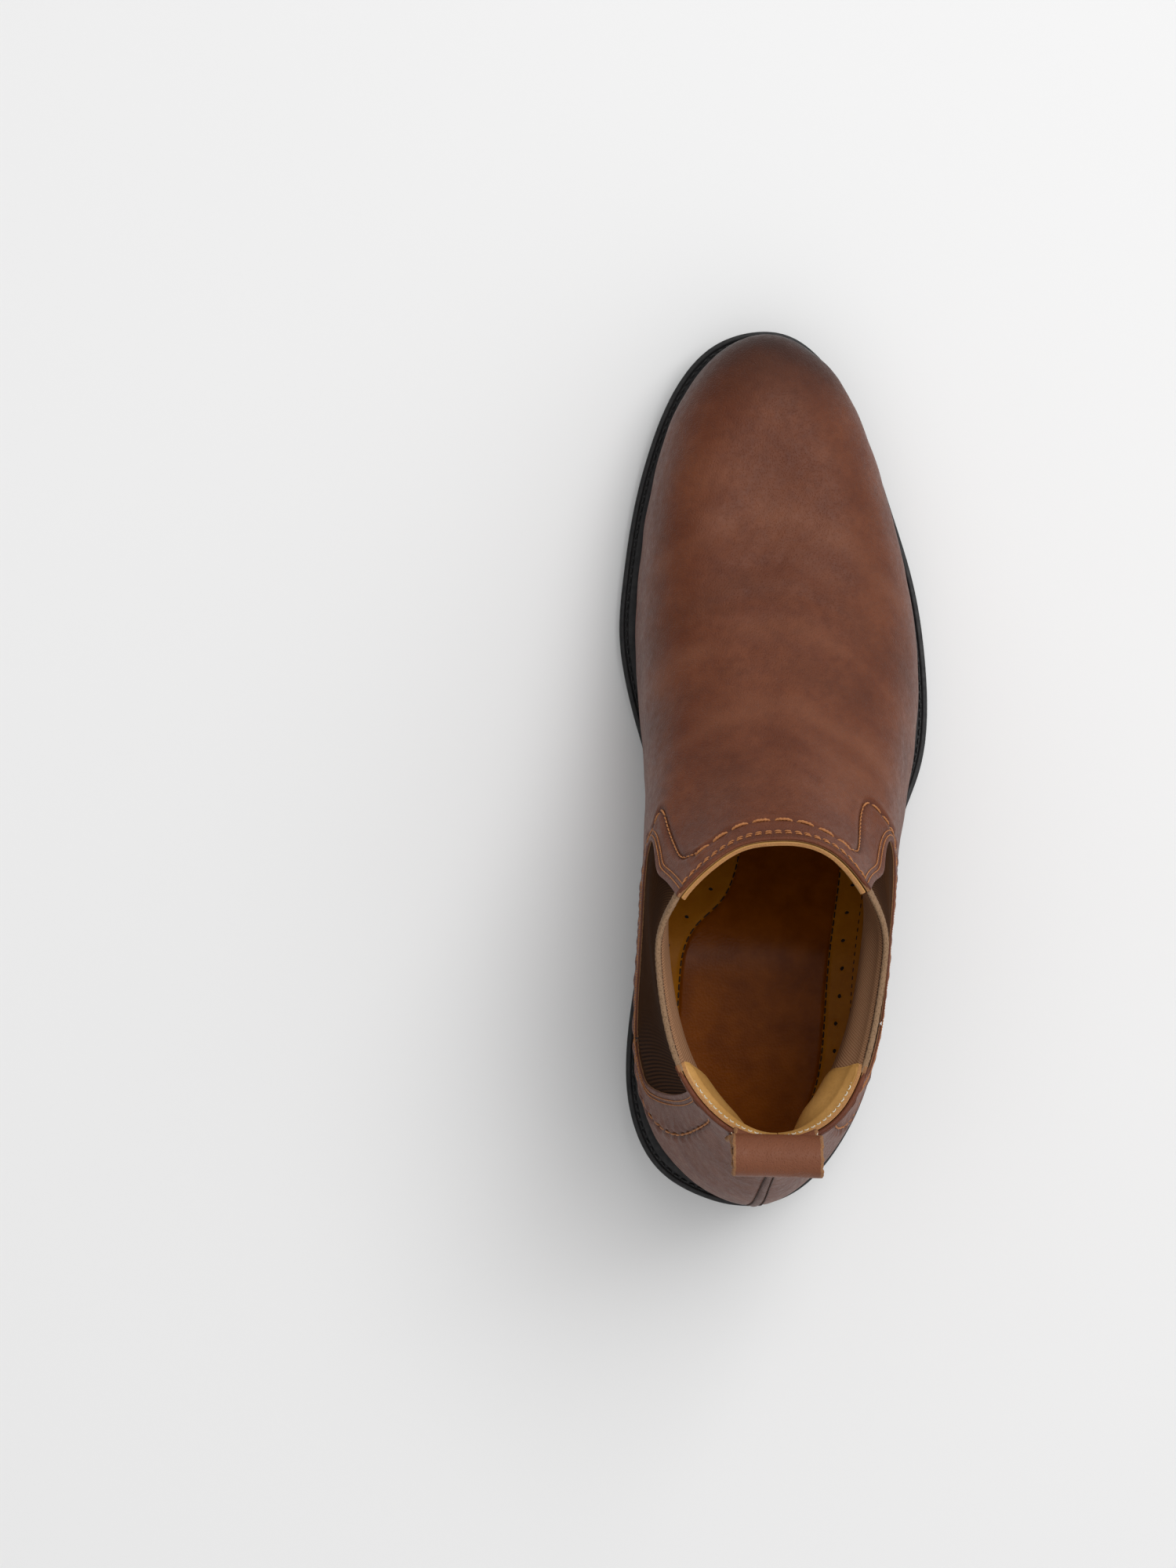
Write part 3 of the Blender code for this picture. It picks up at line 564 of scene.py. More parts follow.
def leather_tone(u, v, p):
    """0 is the plain brown, up to 1 burnished dark, down to -1 worn pale; the stitch dents and the strip under the
    rolled topline get painted shade.
    """
    x, y = p[..., 0], p[..., 1]
    t = 0.95 * smooth((y - 117 + 0.004 * (x + 5) ** 2) / 34)
    t = t + 0.5 * smooth((1.3 - v) / 1.3) * (1 - smooth((y - 100) / 30))
    t = t + 0.10 * wander(p, 14.0, 5) + 0.06 * wander(p, 5.0, 6)
    for y0, wid, amp in ((62, 5, 0.12), (47, 4, -0.12), (34, 5, 0.10), (20, 4, -0.1), (84, 7, -0.1)):
        t = t + amp * bump(y + 0.014 * (x + 4) ** 2, y0, wid) * smooth((v - 2.2) / 0.8)
    # painted shade: darker along the sewn rows, in the dents the stitches pull into the leather
    t = t + 0.3 * bump(nearest([arch_outer] + fine_rows, p)[0], 0, 0.8)
    t = t + 0.5 * bump(nearest(list(rows_outer.values()), p)[0], 0, 1.0)
    # painted shade: the top strip of the leather darkens, in the gap under the rolled collar edge
    return t + 0.25 * smooth((v - 6.9) / 0.1)


# ------------------------------------------------------------------ materials
class Look:
    """A Principled material with a few procedural helpers, in object space metres."""

    def __init__(self, name, **sockets):
        self.m = bpy.data.materials.new(name)
        self.m.use_nodes = True
        self.t = self.m.node_tree
        self.b = self.t.nodes["Principled BSDF"]
        self.co = self.t.nodes.new("ShaderNodeTexCoord").outputs["Object"]
        for k, v in sockets.items():
            self.b.inputs[k.replace("_", " ")].default_value = v

    def node(self, kind, ins=(), **props):
        n = self.t.nodes.new(kind)
        for k, v in props.items():
            setattr(n, k, v)
        for i, v in enumerate(ins):
            self.put(n.inputs[i], v)
        return n

    def put(self, socket, v):
        if isinstance(v, bpy.types.NodeSocket):
            self.t.links.new(v, socket)
        elif v is not None:
            socket.default_value = v

    def noise(self, scale, detail=3.0, rough=0.5, vec=None):
        n = self.node("ShaderNodeTexNoise")
        self.put(n.inputs["Vector"], vec or self.co)
        n.inputs["Scale"].default_value = scale
        n.inputs["Detail"].default_value = detail
        n.inputs["Roughness"].default_value = rough
        return n.outputs["Fac"]

    def cells(self, scale, feature="F1", vec=None):
        n = self.node("ShaderNodeTexVoronoi", feature=feature)
        self.put(n.inputs["Vector"], vec or self.co)
        n.inputs["Scale"].default_value = scale
        return n.outputs["Distance"]

    def remap(self, v, a, b, c=0.0, d=1.0):
        n = self.node("ShaderNodeMapRange")
        self.put(n.inputs[0], v)
        for i, k in enumerate((a, b, c, d)):
            n.inputs[i + 1].default_value = k
        return n.outputs[0]

    def calc(self, op, a, b=None):
        n = self.node("ShaderNodeMath", operation=op)
        self.put(n.inputs[0], a)
        self.put(n.inputs[1], b)
        return n.outputs[0]

    def mix(self, fac, a, b):
        n = self.node("ShaderNodeMix", data_type="RGBA")
        self.put(n.inputs[0], fac)
        self.put(n.inputs[6], a)
        self.put(n.inputs[7], b)
        return n.outputs[2]

    def tone(self):
        return self.node("ShaderNodeAttribute", attribute_name="tone").outputs["Fac"]

    def bump(self, height, dist, strength=1.0):
        n = self.node("ShaderNodeBump")
        n.inputs["Strength"].default_value = strength
        n.inputs["Distance"].default_value = dist
        self.put(n.inputs["Height"], height)
        self.put(self.b.inputs["Normal"], n.outputs[0])
        return self

    def colour(self, v):
        self.put(self.b.inputs["Base Color"], v)
        return self

    def rough(self, v):
        self.put(self.b.inputs["Roughness"], v)
        return self


def leather_look():
    k = Look("upper_leather", Coat_Weight=0.03, Coat_Roughness=0.25, Specular_IOR_Level=0.2)
    t = k.tone()
    worn = k.remap(t, 0.0, -0.5)
    # dark follows the tone: burnished toe and welt, and painted shade in the stitch dents and under the rolled topline
    dark = k.remap(t, 0.0, 0.95)
    base = k.mix(k.remap(k.noise(55, 4, 0.6), 0.3, 0.7), (0.112, 0.029, 0.011, 1), (0.155, 0.046, 0.019, 1))
    base = k.mix(k.remap(k.noise(300, 3, 0.6), 0.4, 0.75, 0.0, 0.5), base, (0.085, 0.022, 0.010, 1))
    base = k.mix(worn, base, (0.23, 0.085, 0.042, 1))
    base = k.mix(dark, base, (0.026, 0.007, 0.003, 1))
    pores = k.remap(k.cells(1500), 0.05, 0.5)
    grain = k.calc("ADD", k.calc("MULTIPLY", pores, 0.8), k.noise(1700, 3, 0.6))
    base = k.mix(k.remap(k.cells(1500), 0.16, 0.05, 0, 0.35), base, (0.02, 0.006, 0.004, 1))
    k.colour(base).rough(k.remap(k.noise(420, 3, 0.6), 0.3, 0.7, 0.40, 0.56))
    return k.bump(grain, 0.00022, 0.7).m


def lining_look():
    k = Look("tan_lining_leather", Coat_Weight=0.12, Coat_Roughness=0.22, Specular_IOR_Level=0.3)
    base = k.mix(k.remap(k.noise(90, 3), 0.3, 0.7), (0.46, 0.235, 0.062, 1), (0.56, 0.30, 0.090, 1))
    base = k.mix(k.remap(k.noise(900, 2), 0.45, 0.8, 0, 0.4), base, (0.36, 0.17, 0.045, 1))
    k.colour(base).rough(0.38)
    return k.bump(k.cells(1700), 0.00008, 0.5).m


def sock_look():
    k = Look("sock_leather", Coat_Weight=0.02, Coat_Roughness=0.2, Specular_IOR_Level=0.08)
    t = k.tone()
    # painted shade: the centre of the footbed, inside the stitched lines, gets a darker colour than the perforated
    # bands
    inner = k.mix(k.remap(k.noise(120, 3), 0.3, 0.7), (0.18, 0.042, 0.001, 1), (0.26, 0.066, 0.002, 1))
    outer = k.mix(k.remap(k.noise(100, 3), 0.3, 0.7), (0.36, 0.125, 0.004, 1), (0.46, 0.17, 0.008, 1))
    k.colour(k.mix(k.remap(t, 0.45, 0.55), outer, inner)).rough(k.remap(t, 0.0, 1.0, 0.5, 0.34))
    return k.bump(k.cells(1300), 0.0001, 0.6).m


# painted light and shade: the tone picks groove_shade in the rib hollows (painted shade) and blends lo to the paler hi
# towards the gore's top (painted light)
def elastic_look(name, lo, hi, groove_shade):
    k = Look(name, Roughness=0.95, Specular_IOR_Level=0.04)
    f = k.noise(1500, 3, 0.7)
    body = k.mix(k.calc("MULTIPLY", k.remap(f, 0.2, 0.7, 0.6, 1.0), k.remap(k.tone(), 1.0, 2.0)), lo, hi)
    k.colour(k.mix(k.remap(k.tone(), 0.0, 1.0), groove_shade, body))
    return k.bump(f, 0.0002, 0.6).m


def tape_look():
    k = Look("binding_tape", Roughness=0.85, Specular_IOR_Level=0.15)
    f = k.noise(2200, 3, 0.7)
    weave = k.cells(1700)
    k.colour(k.mix(k.remap(weave, 0.1, 0.5), (0.145, 0.085, 0.046, 1), (0.27, 0.165, 0.095, 1)))
    return k.bump(k.calc("ADD", f, weave), 0.0002, 0.6).m


def rubber_look():
    k = Look("black_rubber", Specular_IOR_Level=0.35)
    k.colour(k.mix(k.remap(k.noise(260, 4, 0.6), 0.35, 0.75), (0.011, 0.011, 0.012, 1), (0.027, 0.026, 0.026, 1)))
    k.rough(k.remap(k.noise(700, 3), 0.3, 0.7, 0.42, 0.62))
    return k.bump(k.noise(2600, 3, 0.6), 0.0001, 0.4).m


def flecked(name, lo, hi, rough, noise, bump, **sockets):
    """Two tones in a fine speckle, with a bump to match."""
    k = Look(name, Roughness=rough, **sockets)
    n = k.noise(*noise)
    k.colour(k.mix(k.remap(n, 0.3, 0.7), lo, hi))
    return k.bump(n, *bump).m


def thread_look(name, lo, hi):
    return flecked(name, lo, hi, 0.6, (2500, 2), (0.0001, 0.5), Specular_IOR_Level=0.25)


def plain_look(name, lo, hi, rough, scale=500, metal=0.0):
    return flecked(name, lo, hi, rough, (scale, 4, 0.6), (0.0001, 0.4), Metallic=metal)


LEATHER, LINING, SOCK = leather_look(), lining_look(), sock_look()
RAW = flecked("raw_leather_edge", (0.16, 0.065, 0.022, 1), (0.36, 0.17, 0.065, 1), 0.8, (3000, 3, 0.7), (0.00015, 0.6))
LINING_RAW = flecked("lining_cut_edge", (0.26, 0.105, 0.030, 1), (0.52, 0.26, 0.090, 1), 0.85, (3200, 3, 0.7),
                     (0.00015, 0.5))
# each gore's hi colour is painted light at its top, its last colour painted shade in the rib hollows
GORE = elastic_look("gore_elastic_outer", (0.052, 0.021, 0.008, 1), (0.22, 0.115, 0.060, 1), (0.014, 0.005, 0.002, 1))
GORE_IN = elastic_look("gore_elastic_inner", (0.30, 0.155, 0.080, 1), (0.46, 0.27, 0.165, 1), (0.13, 0.055, 0.025, 1))
TAPE, RUBBER = tape_look(), rubber_look()
COPPER = thread_look("thread_copper", (0.30, 0.105, 0.032, 1), (0.52, 0.22, 0.080, 1))
DARK_THREAD = thread_look("thread_dark", (0.020, 0.009, 0.006, 1), (0.060, 0.028, 0.018, 1))
BLACK_THREAD = thread_look("thread_black", (0.010, 0.010, 0.010, 1), (0.045, 0.045, 0.045, 1))
PALE_THREAD = thread_look("thread_pale", (0.50, 0.42, 0.30, 1), (0.78, 0.71, 0.58, 1))
FIBRE = plain_look("fibre_board", (0.16, 0.12, 0.08, 1), (0.24, 0.19, 0.13, 1), 0.85)
FOAM = plain_look("foam", (0.55, 0.50, 0.38, 1), (0.68, 0.63, 0.50, 1), 0.9)
CORK = plain_look("cork_filler", (0.18, 0.10, 0.05, 1), (0.38, 0.24, 0.13, 1), 0.9)
FELT = plain_look("stiffener", (0.33, 0.30, 0.24, 1), (0.46, 0.42, 0.34, 1), 0.9)
STEEL = plain_look("nail_steel", (0.35, 0.35, 0.36, 1), (0.5, 0.5, 0.51, 1), 0.35, 300, 1.0)
# painted shade: the near-black of the perforations' hollows
HOLE_SHADE = plain_look("hole_painted_shade", (0.010, 0.004, 0.002, 1), (0.02, 0.008, 0.004, 1), 0.9)


# ------------------------------------------------------------------ upper
def seam_gap(v):
    """The panels butt below the gores and part a little more beside them."""
    return np.where(v < 1.9, 0.004, 0.012)


def vamp_edge(v):
    return gore_front(v) - seam_gap(v)


def quarter_edge(v):
    return gore_rear(v) + seam_gap(v)


OUTER_LEATHER = 0.0, LEATHER_THICK, [LEATHER, RAW], leather_relief, 0.6, leather_tone
vamp = shell("vamp_leather", lambda v: -vamp_edge(v), vamp_edge, 0.0, 7.0, 370, 235, *OUTER_LEATHER)
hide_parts("vamp")
for side, lo, hi in (("lateral", quarter_edge, lambda v: 7.985 + 0 * v),
                     ("medial", lambda v: 8.015 + 0 * v, lambda v: 16 - quarter_edge(v))):
    quarter = shell(f"quarter_{side}_leather", lo, hi, 0.0, 7.0, 110, 210, *OUTER_LEATHER)
    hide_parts(f"quarter_{side}")


def collar_depth(u, v):
    """The lining comes up close behind the outer leather at the collar."""
    return LINING_DEPTH - 1.15 * smooth((v - 6.55) / 0.4) + pads(u, v)


front_lining = shell("vamp_lining_leather", lambda v: -gore_front(v) + 0.03, lambda v: gore_front(v) - 0.03, 3.2, 7.0,
                     150, 90, collar_depth, LINING_THICK, [LINING, LINING_RAW], None, 0.25)
# turned so that its finished side faces the foot
for p in front_lining.data.polygons:
    p.flip()
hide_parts("collar_binding_front")


# ---- gores: two ribbed plies and the tape over their top edge ----
def ribbed(name, sign, depth_of, mats, height, inside):
    """One ply of a gore. Its ribs run down from the collar."""
    rows, cols, pitch = 70, 420, 0.95
    v = np.linspace(1.97, 6.9, rows)
    lo, hi = gore_front(v) - 0.05, gore_rear(v) + 0.05
    u = lo[:, None] + (hi - lo)[:, None] * np.linspace(0, 1, cols)
    vv = np.repeat(v[:, None], cols, axis=1)
    line = np.linspace(2.9, 6.8, 300)
    fine = np.interp(u, line, arc_length(at(on_side(line, sign), 6.6)[0]))
    wave = np.cos(2 * math.pi * fine / pitch)
    su = on_side(u, sign)
    p = at(su, vv, depth_of(su, vv) + (-1 if inside else 1) * height * (1 - wave) / 2 * 0.9)[0]
    # painted light: light makes the ply paler towards its top, where more light falls; the tone drops in the rib
    # hollows for painted shade
    start, span = (4.5, 2.0) if inside else (6.1, 0.9)
    light = smooth((vv - start) / span)
    return solid(name, p, quads(rows, cols), mats, tone=(0.5 + 0.5 * wave) * (1 + light))


def outer_ply(u, v):
    return 0.85 + 0.0 * u


def inner_ply(u, v):
    return 3.4 + 1.15 * pads(u, v) - 1.05 * smooth((v - 6.66) / 0.25)


# the tape's section, as (depth, v): up the outside, over the top and down the inside
TAPE_SECTION = np.array([
    (0.72, 6.862), (0.52, 6.87), (0.48, 6.93), (0.52, 6.98), (0.68, 7.01), (1.05, 7.03), (1.5, 7.032), (1.95, 7.02),
    (2.2, 6.995), (2.32, 6.95), (2.34, 6.9), (2.3, 6.865), (2.1, 6.86)])
for side, k in SIDES:
    g = ribbed(f"gore_{side}_outer", k, outer_ply, [GORE], 0.32, False)
    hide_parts(f"gore_{side}")
    g = ribbed(f"gore_{side}_inner", k, inner_ply, [GORE_IN], 0.3, True)
    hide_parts(f"gore_lining_{side}")
    u = np.linspace(3.12, 6.12, 150)
    su = on_side(u, k)
    dip = 0.03 * (smooth((u - u[0]) / 0.25) * smooth((u[-1] - u) / 0.25))
    rows = len(TAPE_SECTION)
    depth = TAPE_SECTION[:, :1] + 0.05 * np.sin(u * 61)[None]
    p = at(np.repeat(su[None], rows, 0), TAPE_SECTION[:, 1:] + 0.0 * u[None] - 0.04 + dip, depth)[0]
    tape = solid(f"gore_tape_{side}", p, quads(rows, len(u)), [TAPE])
    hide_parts(f"gore_binding_{side}")
    sewn(f"gore_tape_stitches_{side}", Row([(a, 6.9) for a in su[5:-5:8]]), 2.1, 1.6, 0.16, DARK_THREAD, 0.1, 2.42)


# ---- heel linings: padded leather with a rounded front end, standing just inside the quarters ----
def ear(v):
    """How far the lining's front end lies behind the gore; it rounds back at the top."""
    return -0.02 + 0.16 * smooth((v - 6.8) / 0.24) ** 2


def heel_depth(u, v):
    return 3.3 - 1.3 * smooth((v - 6.6) / 0.4) + pads(u, v)


def heel_lining(name, side, lo, hi):
    wide, top = 60.0, 7.03
    v = np.concatenate([np.linspace(1.0, 6.6, 50)[:-1], np.linspace(6.6, top, 41)])
    t = ends_first(wide, 100)
    u = lo(v)[:, None] + (hi(v) - lo(v))[:, None] * t
    nr, nc = u.shape
    vv = np.repeat(v[:, None], nc, axis=1)
    free = t[None] * wide if side == "lateral" else (1 - t[None]) * wide
    near = np.minimum((top - vv) * 28.0, free + 0.4)
    plump = 0.9 * (1 - np.exp(-near / 2.4)) - 0.25 * bump(near, 1.25, 0.35)
    wave = 0.16 * wander(at(u, vv)[0], 8.0, 11)
    depth = heel_depth(u, vv)
    inner = at(u, vv, depth + 1.0 + plump * smooth((vv - 4.2) / 1.2) + wave * smooth((near - 1) / 3))[0]
    outer = at(u, vv, depth - 0.05)[0]
    front = quads(nr, nc)
    back = quads(nr, nc, base=nr * nc)[:, ::-1]
    ri, ci = border(nr, nc)
    a = ri * nc + ci
    b = a + nr * nc
    wall = np.stack([a, np.roll(a, -1), np.roll(b, -1), b], -1)
    which = np.concatenate([np.zeros(len(front) + len(back)), np.ones(len(wall))])
    obj = solid(name, np.vstack([inner.reshape(-1, 3), outer.reshape(-1, 3)]), np.vstack([front, back, wall]),
                [LINING, LINING_RAW], which)
    return obj


SEAM_V = 6.968
lateral_row = [(6.29, 6.55), (6.25, 6.8)] + [(a, SEAM_V) for a in np.linspace(6.36, 7.9, 12)]
medial_row = [(a, SEAM_V) for a in np.linspace(8.1, 9.64, 12)] + [(9.75, 6.8), (9.71, 6.55)]
for side, lo, hi, way in (
        ("lateral", lambda v: gore_rear(v) + ear(v), lambda v: 7.99 + 0 * v, lateral_row),
        ("medial", lambda v: 8.01 + 0 * v, lambda v: 16 - gore_rear(v) - ear(v), medial_row)):
    h = heel_lining(f"heel_lining_{side}_leather", side, lo, hi)
    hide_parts(f"heel_lining_{side}")
    sewn(f"heel_lining_stitches_{side}", Row(way), 2.3, 1.55, 0.24, PALE_THREAD, 0.12,
         float(heel_depth(8.0, 6.97)) + 1.5)


# ---- rolled edge of the collar: a thin roll at the front and over both quarters ----
def roll(u0, u1, count, r, depth, rise):
    u = np.linspace(u0, u1, count)
    p, n = at(u, 7.0 - rise / 30.0, depth)
    taper = 0.35 + 0.65 * smooth(np.minimum(np.arange(count), count - 1 - np.arange(count)) / 6.0)
    return tube(p, r * taper, 12, n)


edge = stack("collar_rolled_edge", [roll(-3.02, 3.02, 200, 0.62, 0.75, 0.15), roll(6.12, 7.97, 120, 0.85, 0.9, 0.1),
                                    roll(8.03, 9.88, 120, 0.85, 0.9, 0.1)], [LEATHER])

# ---- stitches on the leather ----
sewn("stitches_collar_arch", arch_outer, 6.6, 5.7, 0.45, COPPER, 0.2, 0.1, twist=5, skin=True, sides=12)
for i, r in enumerate((arch_one, arch_two)):
    sewn(f"stitches_collar_inner_{i + 1}", r, 3.1, 2.2, 0.25, COPPER, 0.12, 0.1, skin=True)
FINE_END = 33.0  # along the flank row, where the fine stitches give way to the heavy ones
for side in ("lateral", "medial"):
    sewn(f"stitches_gore_{side}_inner", rows_in[side], 1.05, 0.76, 0.2, COPPER, 0.1, 0.08, skin=True)
    sewn(f"stitches_gore_{side}_outer", rows_out[side], 1.05, 0.76, 0.2, COPPER, 0.1, 0.08, skin=True)
    r = rows_outer[side]
    sewn(f"stitches_flank_{side}_front", r, 1.9, 1.35, 0.27, COPPER, 0.12, 0.2, skin=True, s1=FINE_END)
    sewn(f"stitches_flank_{side}_rear", r, 5.2, 4.3, 0.34, COPPER, 0.16, 0.3, twist=4, skin=True, s0=FINE_END,
         sides=10)
for i, r in enumerate(back_rows):
    sewn(f"stitches_back_seam_{i + 1}", r, 2.6, 1.9, 0.26, DARK_THREAD, 0.12, 0.1, skin=True)
v = np.linspace(0.8, 6.4, 160)
strip_u = 7.957 + 0.086 * np.linspace(0, 1, 7)
arc = np.array([-0.05, 0.28, 0.42, 0.46, 0.42, 0.28, -0.05])
p = at(np.repeat(strip_u[None], 160, 0), np.repeat(v[:, None], 7, 1), -arc[None] + 0.0 * v[:, None])[0]
strip = solid("back_seam_cover", p, quads(160, 7), [LEATHER], tone=0.35 * np.ones((160, 7)))
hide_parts("back_seam_strip")


# ------------------------------------------------------------------ bottom
def outline(inset, count, points=OUTLINE):
    """Points of a closed curve, moved in by a distance."""
    t = np.linspace(0, len(points), count, endpoint=False)
    d = periodic(points, t + 0.01) - periodic(points, t - 0.01)
    return periodic(points, t) - unit(np.stack([-d[:, 1], d[:, 0]], axis=1)) * inset


def even_outline(inset, gap):
    """Outline points at even arc length."""
    p = outline(inset, 1600)
    q = np.vstack([p, p[:1]])
    s = arc_length(q)
    a = np.linspace(0, s[-1], int(round(s[-1] / gap)), endpoint=False)
    return np.stack([np.interp(a, s, q[:, 0]), np.interp(a, s, q[:, 1])], 1)


def band(name, section, mats, count=700):
    """A closed section of (inset, height) swept round the outline."""
    loops = []
    for inset, height in section:
        p = outline(inset, count)
        loops.append(np.column_stack([p, sole_z(p[:, 1]) + height]))
    k = len(section)
    c = np.arange(count)
    d = (c + 1) % count
    faces = [np.stack([i * count + c, i * count + d, ((i + 1) % k) * count + d, ((i + 1) % k) * count + c], -1)
             for i in range(k)]
    return solid(name, np.vstack(loops), np.vstack(faces), mats)


base = OUTSOLE_THICK + GAP
top = base + WELT_THICK
gx, gw = 2.4, 0.75  # the welt's groove: inset of its middle, half its width
welt = band("welt_band", [
    (0.35, base), (0.1, base + 0.3), (0.0, base + 1.0), (0.0, top - 0.75), (0.12, top - 0.3), (0.45, top),
    (1.2, top + 0.03), (gx - gw, top), (gx - gw + 0.12, top - 0.16), (gx - gw + 0.18, top - 0.62), (gx, top - 0.8),
    (gx + gw - 0.18, top - 0.62), (gx + gw - 0.12, top - 0.16), (gx + gw, top), (4.4, top + 0.02), (8.6, top + 0.02),
    (8.9, top - 0.3), (8.9, base)], [RUBBER], 900)
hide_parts("welt")

# stitches in the welt's groove
mid = even_outline(gx, 0.31)
pitch, run = 10, 8  # in points of mid: from stitch to stitch, and along one
hump = 1 - np.abs(np.linspace(-1, 1, run)) ** 4
pieces = []
for i in range(len(mid) // pitch):
    q = mid[(np.arange(run) + i * pitch) % len(mid)]
    z = sole_z(q[:, 1]) + top - 0.62 + 0.58 * hump
    pieces.append(tube(np.column_stack([q, z]), 0.34 * (0.6 + 0.4 * hump), 8, None,
                       lambda j, angle: 1 + 0.16 * np.cos(2 * (angle - math.pi * 2.5 * j / (run - 1)))))
stitches = stack("welt_stitches", pieces, [BLACK_THREAD])
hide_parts("welt_thread")

sole_wall = band("outsole_edge", [
    (6.0, 4.9), (0.9, 5.0), (0.45, 4.85), (0.3, 4.45), (0.3, 3.6), (0.62, 3.45), (0.62, 3.2), (0.3, 3.05), (0.3, 1.3),
    (0.5, 0.6), (1.0, 0.15), (1.6, 0.0), (6.0, 0.0)], [RUBBER])


def sides(loop, y):
    """x of a loop's medial and lateral side at each y."""
    loop = np.roll(loop, -int(np.argmax(loop[:, 1])), axis=0)
    low = int(np.argmin(loop[:, 1]))
    lat = loop[: low + 1]
    med = np.vstack([loop[low:], loop[:1]])
    return np.interp(y, med[:, 1], med[:, 0]), np.interp(y, lat[::-1, 1], lat[::-1, 0])


def sheet_between(loop, rows, cols, height):
    """A grid that fills a loop, at the height a function gives."""
    lo, hi = loop[:, 1].min() + 0.1, loop[:, 1].max() - 0.1
    y = lo + (hi - lo) * 0.5 * (1 - np.cos(np.linspace(0, math.pi, rows)))
    a, b = sides(loop, y)
    x = a[:, None] + (b - a)[:, None] * np.linspace(0, 1, cols)
    yy = np.repeat(y[:, None], cols, 1)
    return np.stack([x, yy, height(x, yy)], -1)


def tread(x, y):
    """The underside: a plain border, cross bars and a smooth waist."""
    fore = smooth((y - 12) / 2) * smooth((138 - y) / 2)
    wave = np.sin(2 * math.pi * (y + 0.004 * (x + 4) ** 2) / 7.5)
    cut = smooth((wave - 0.25) / 0.25)
    a, b = sides(outline(5.5, 500), y.ravel())
    inside = smooth(np.minimum(x.ravel() - a, b - x.ravel()) / 0.8).reshape(x.shape)
    return sole_z(y) + 1.3 * fore * cut * inside


under = sheet_between(outline(1.6, 900), 420, 90, tread)
bottom = solid("outsole_tread", under, quads(420, 90), [RUBBER])
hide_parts("outsole")
upper_face = sheet_between(outline(0.9, 600), 60, 10, lambda x, y: sole_z(y) + 4.98)
cover = solid("outsole_top", upper_face, quads(60, 10), [RUBBER])


def heel_wall(name, inset, z_low, z_high, lines, node):
    """A layer of the heel: the outline behind a hollow breast, with fine moulded lines."""
    loop = outline(inset, 1000)
    loop = np.roll(loop, -int(np.argmax(loop[:, 1])), axis=0)
    back = loop[loop[:, 1] < HEEL_BREAST_Y]
    first, last = back[0], back[-1]
    f = np.linspace(0, 1, 40)[1:-1]
    breast = np.column_stack([last[0] + (first[0] - last[0]) * f, HEEL_BREAST_Y - 4.0 * (1 - (2 * f - 1) ** 2)])
    ring = np.vstack([back, breast])
    t = np.roll(ring, -1, 0) - np.roll(ring, 1, 0)
    nor = unit(np.stack([-t[:, 1], t[:, 0]], 1))
    nor *= np.sign(np.sum(nor * (ring - ring.mean(0)), 1))[:, None]
    low, high = z_low(ring[:, 1]), z_high(ring[:, 1])
    levels, n = np.linspace(0, 1, 29), len(ring)
    loops = []
    for lv in levels:
        dent = 0.5 * (1 - smooth(min(lv, 1 - lv) / 0.07))
        if lines and math.cos(2 * math.pi * lv * lines) < -0.6:
            dent += 0.28
        loops.append(np.column_stack([ring - nor * dent, low + (high - low) * lv]))
    faces = quads(len(levels), n, wrap=True).tolist()
    faces += [[k * n + i for i in range(n)] for k in (0, len(levels) - 1)]
    obj = solid(name, np.vstack(loops), faces, [RUBBER])
    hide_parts(node)


heel_wall("heel_top_lift_block", 0.9, lambda y: 0 * y, lambda y: TOP_LIFT + 0 * y, 0, "heel_top_lift")
heel_wall("heel_stack_block", 0.7, lambda y: TOP_LIFT + 0.15 + 0 * y, lambda y: sole_z(y) - 0.1, 3, "heel_stack")

# ------------------------------------------------------------------ footbed
# the stitched lines of the footbed, as (y, x)
LINE_MED = [(-138, -26), (-120, -32), (-100, -34.2), (-84, -33.8), (-70, -33), (-58, -30.5), (-52, -26.5), (-46, -20),
            (-38, -15), (-26, -12), (0, -12), (60, -14), (130, -10)]
LINE_LAT = [(-138, 0), (-124, 6), (-112, 11.5), (-100, 14.5), (-84, 16), (-64, 17.5), (-44, 20.5), (-26, 23), (0, 25),
            (60, 24), (130, 5)]


def line_x(table, y):
    t = np.array(table, float)
    return open_spline(t[:, 0], t[:, 1], np.clip(y, -138, 130))


def seat_height(x, y):
    """The footbed is cupped at the heel and along the arch."""
    a, b = sides(outline(4.9, 400, FEATHER), np.ravel(y))
    f = ((np.ravel(x) - a) / np.maximum(b - a, 1e-6)).reshape(np.shape(x))
    cup = (2 * f - 1) ** 4
    heel = smooth((-20 - y) / 60)
    arch = bump(y, -30, 40) * (1 - f) ** 3
    return seat_z(y) + 7.5 + (0.3 + 1.6 * heel) * cup + 2.4 * arch - 0.5 * heel * (1 - cup)


grid = sheet_between(outline(4.95, 900, FEATHER), 460, 150, seat_height)
gx, gy = grid[..., 0], grid[..., 1]
med_x, lat_x = line_x(LINE_MED, gy), line_x(LINE_LAT, gy)
inner = smooth((gx - med_x) / 0.5) * smooth((lat_x - gx) / 0.5)
grid[..., 2] += 0.25 * inner - 0.5 * (bump(gx, med_x - 0.1, 0.7) + bump(gx, lat_x + 0.1, 0.7))
holes = []
for k in range(10):
    y = -114 + 9.3 * k
    holes.append((float(line_x(LINE_LAT, y)) + 4.6 + 0.5 * math.sin(k * 1.7), y))
for k in range(9):
    y = -106 + 9.3 * k
    holes.append((float(line_x(LINE_MED, y)) - 3.6 - (2.5 if y > -60 else 0.0), y))
holes += [(-22.5, -34.0), (-17.5, -26.5), (-25.0, -24.0)]
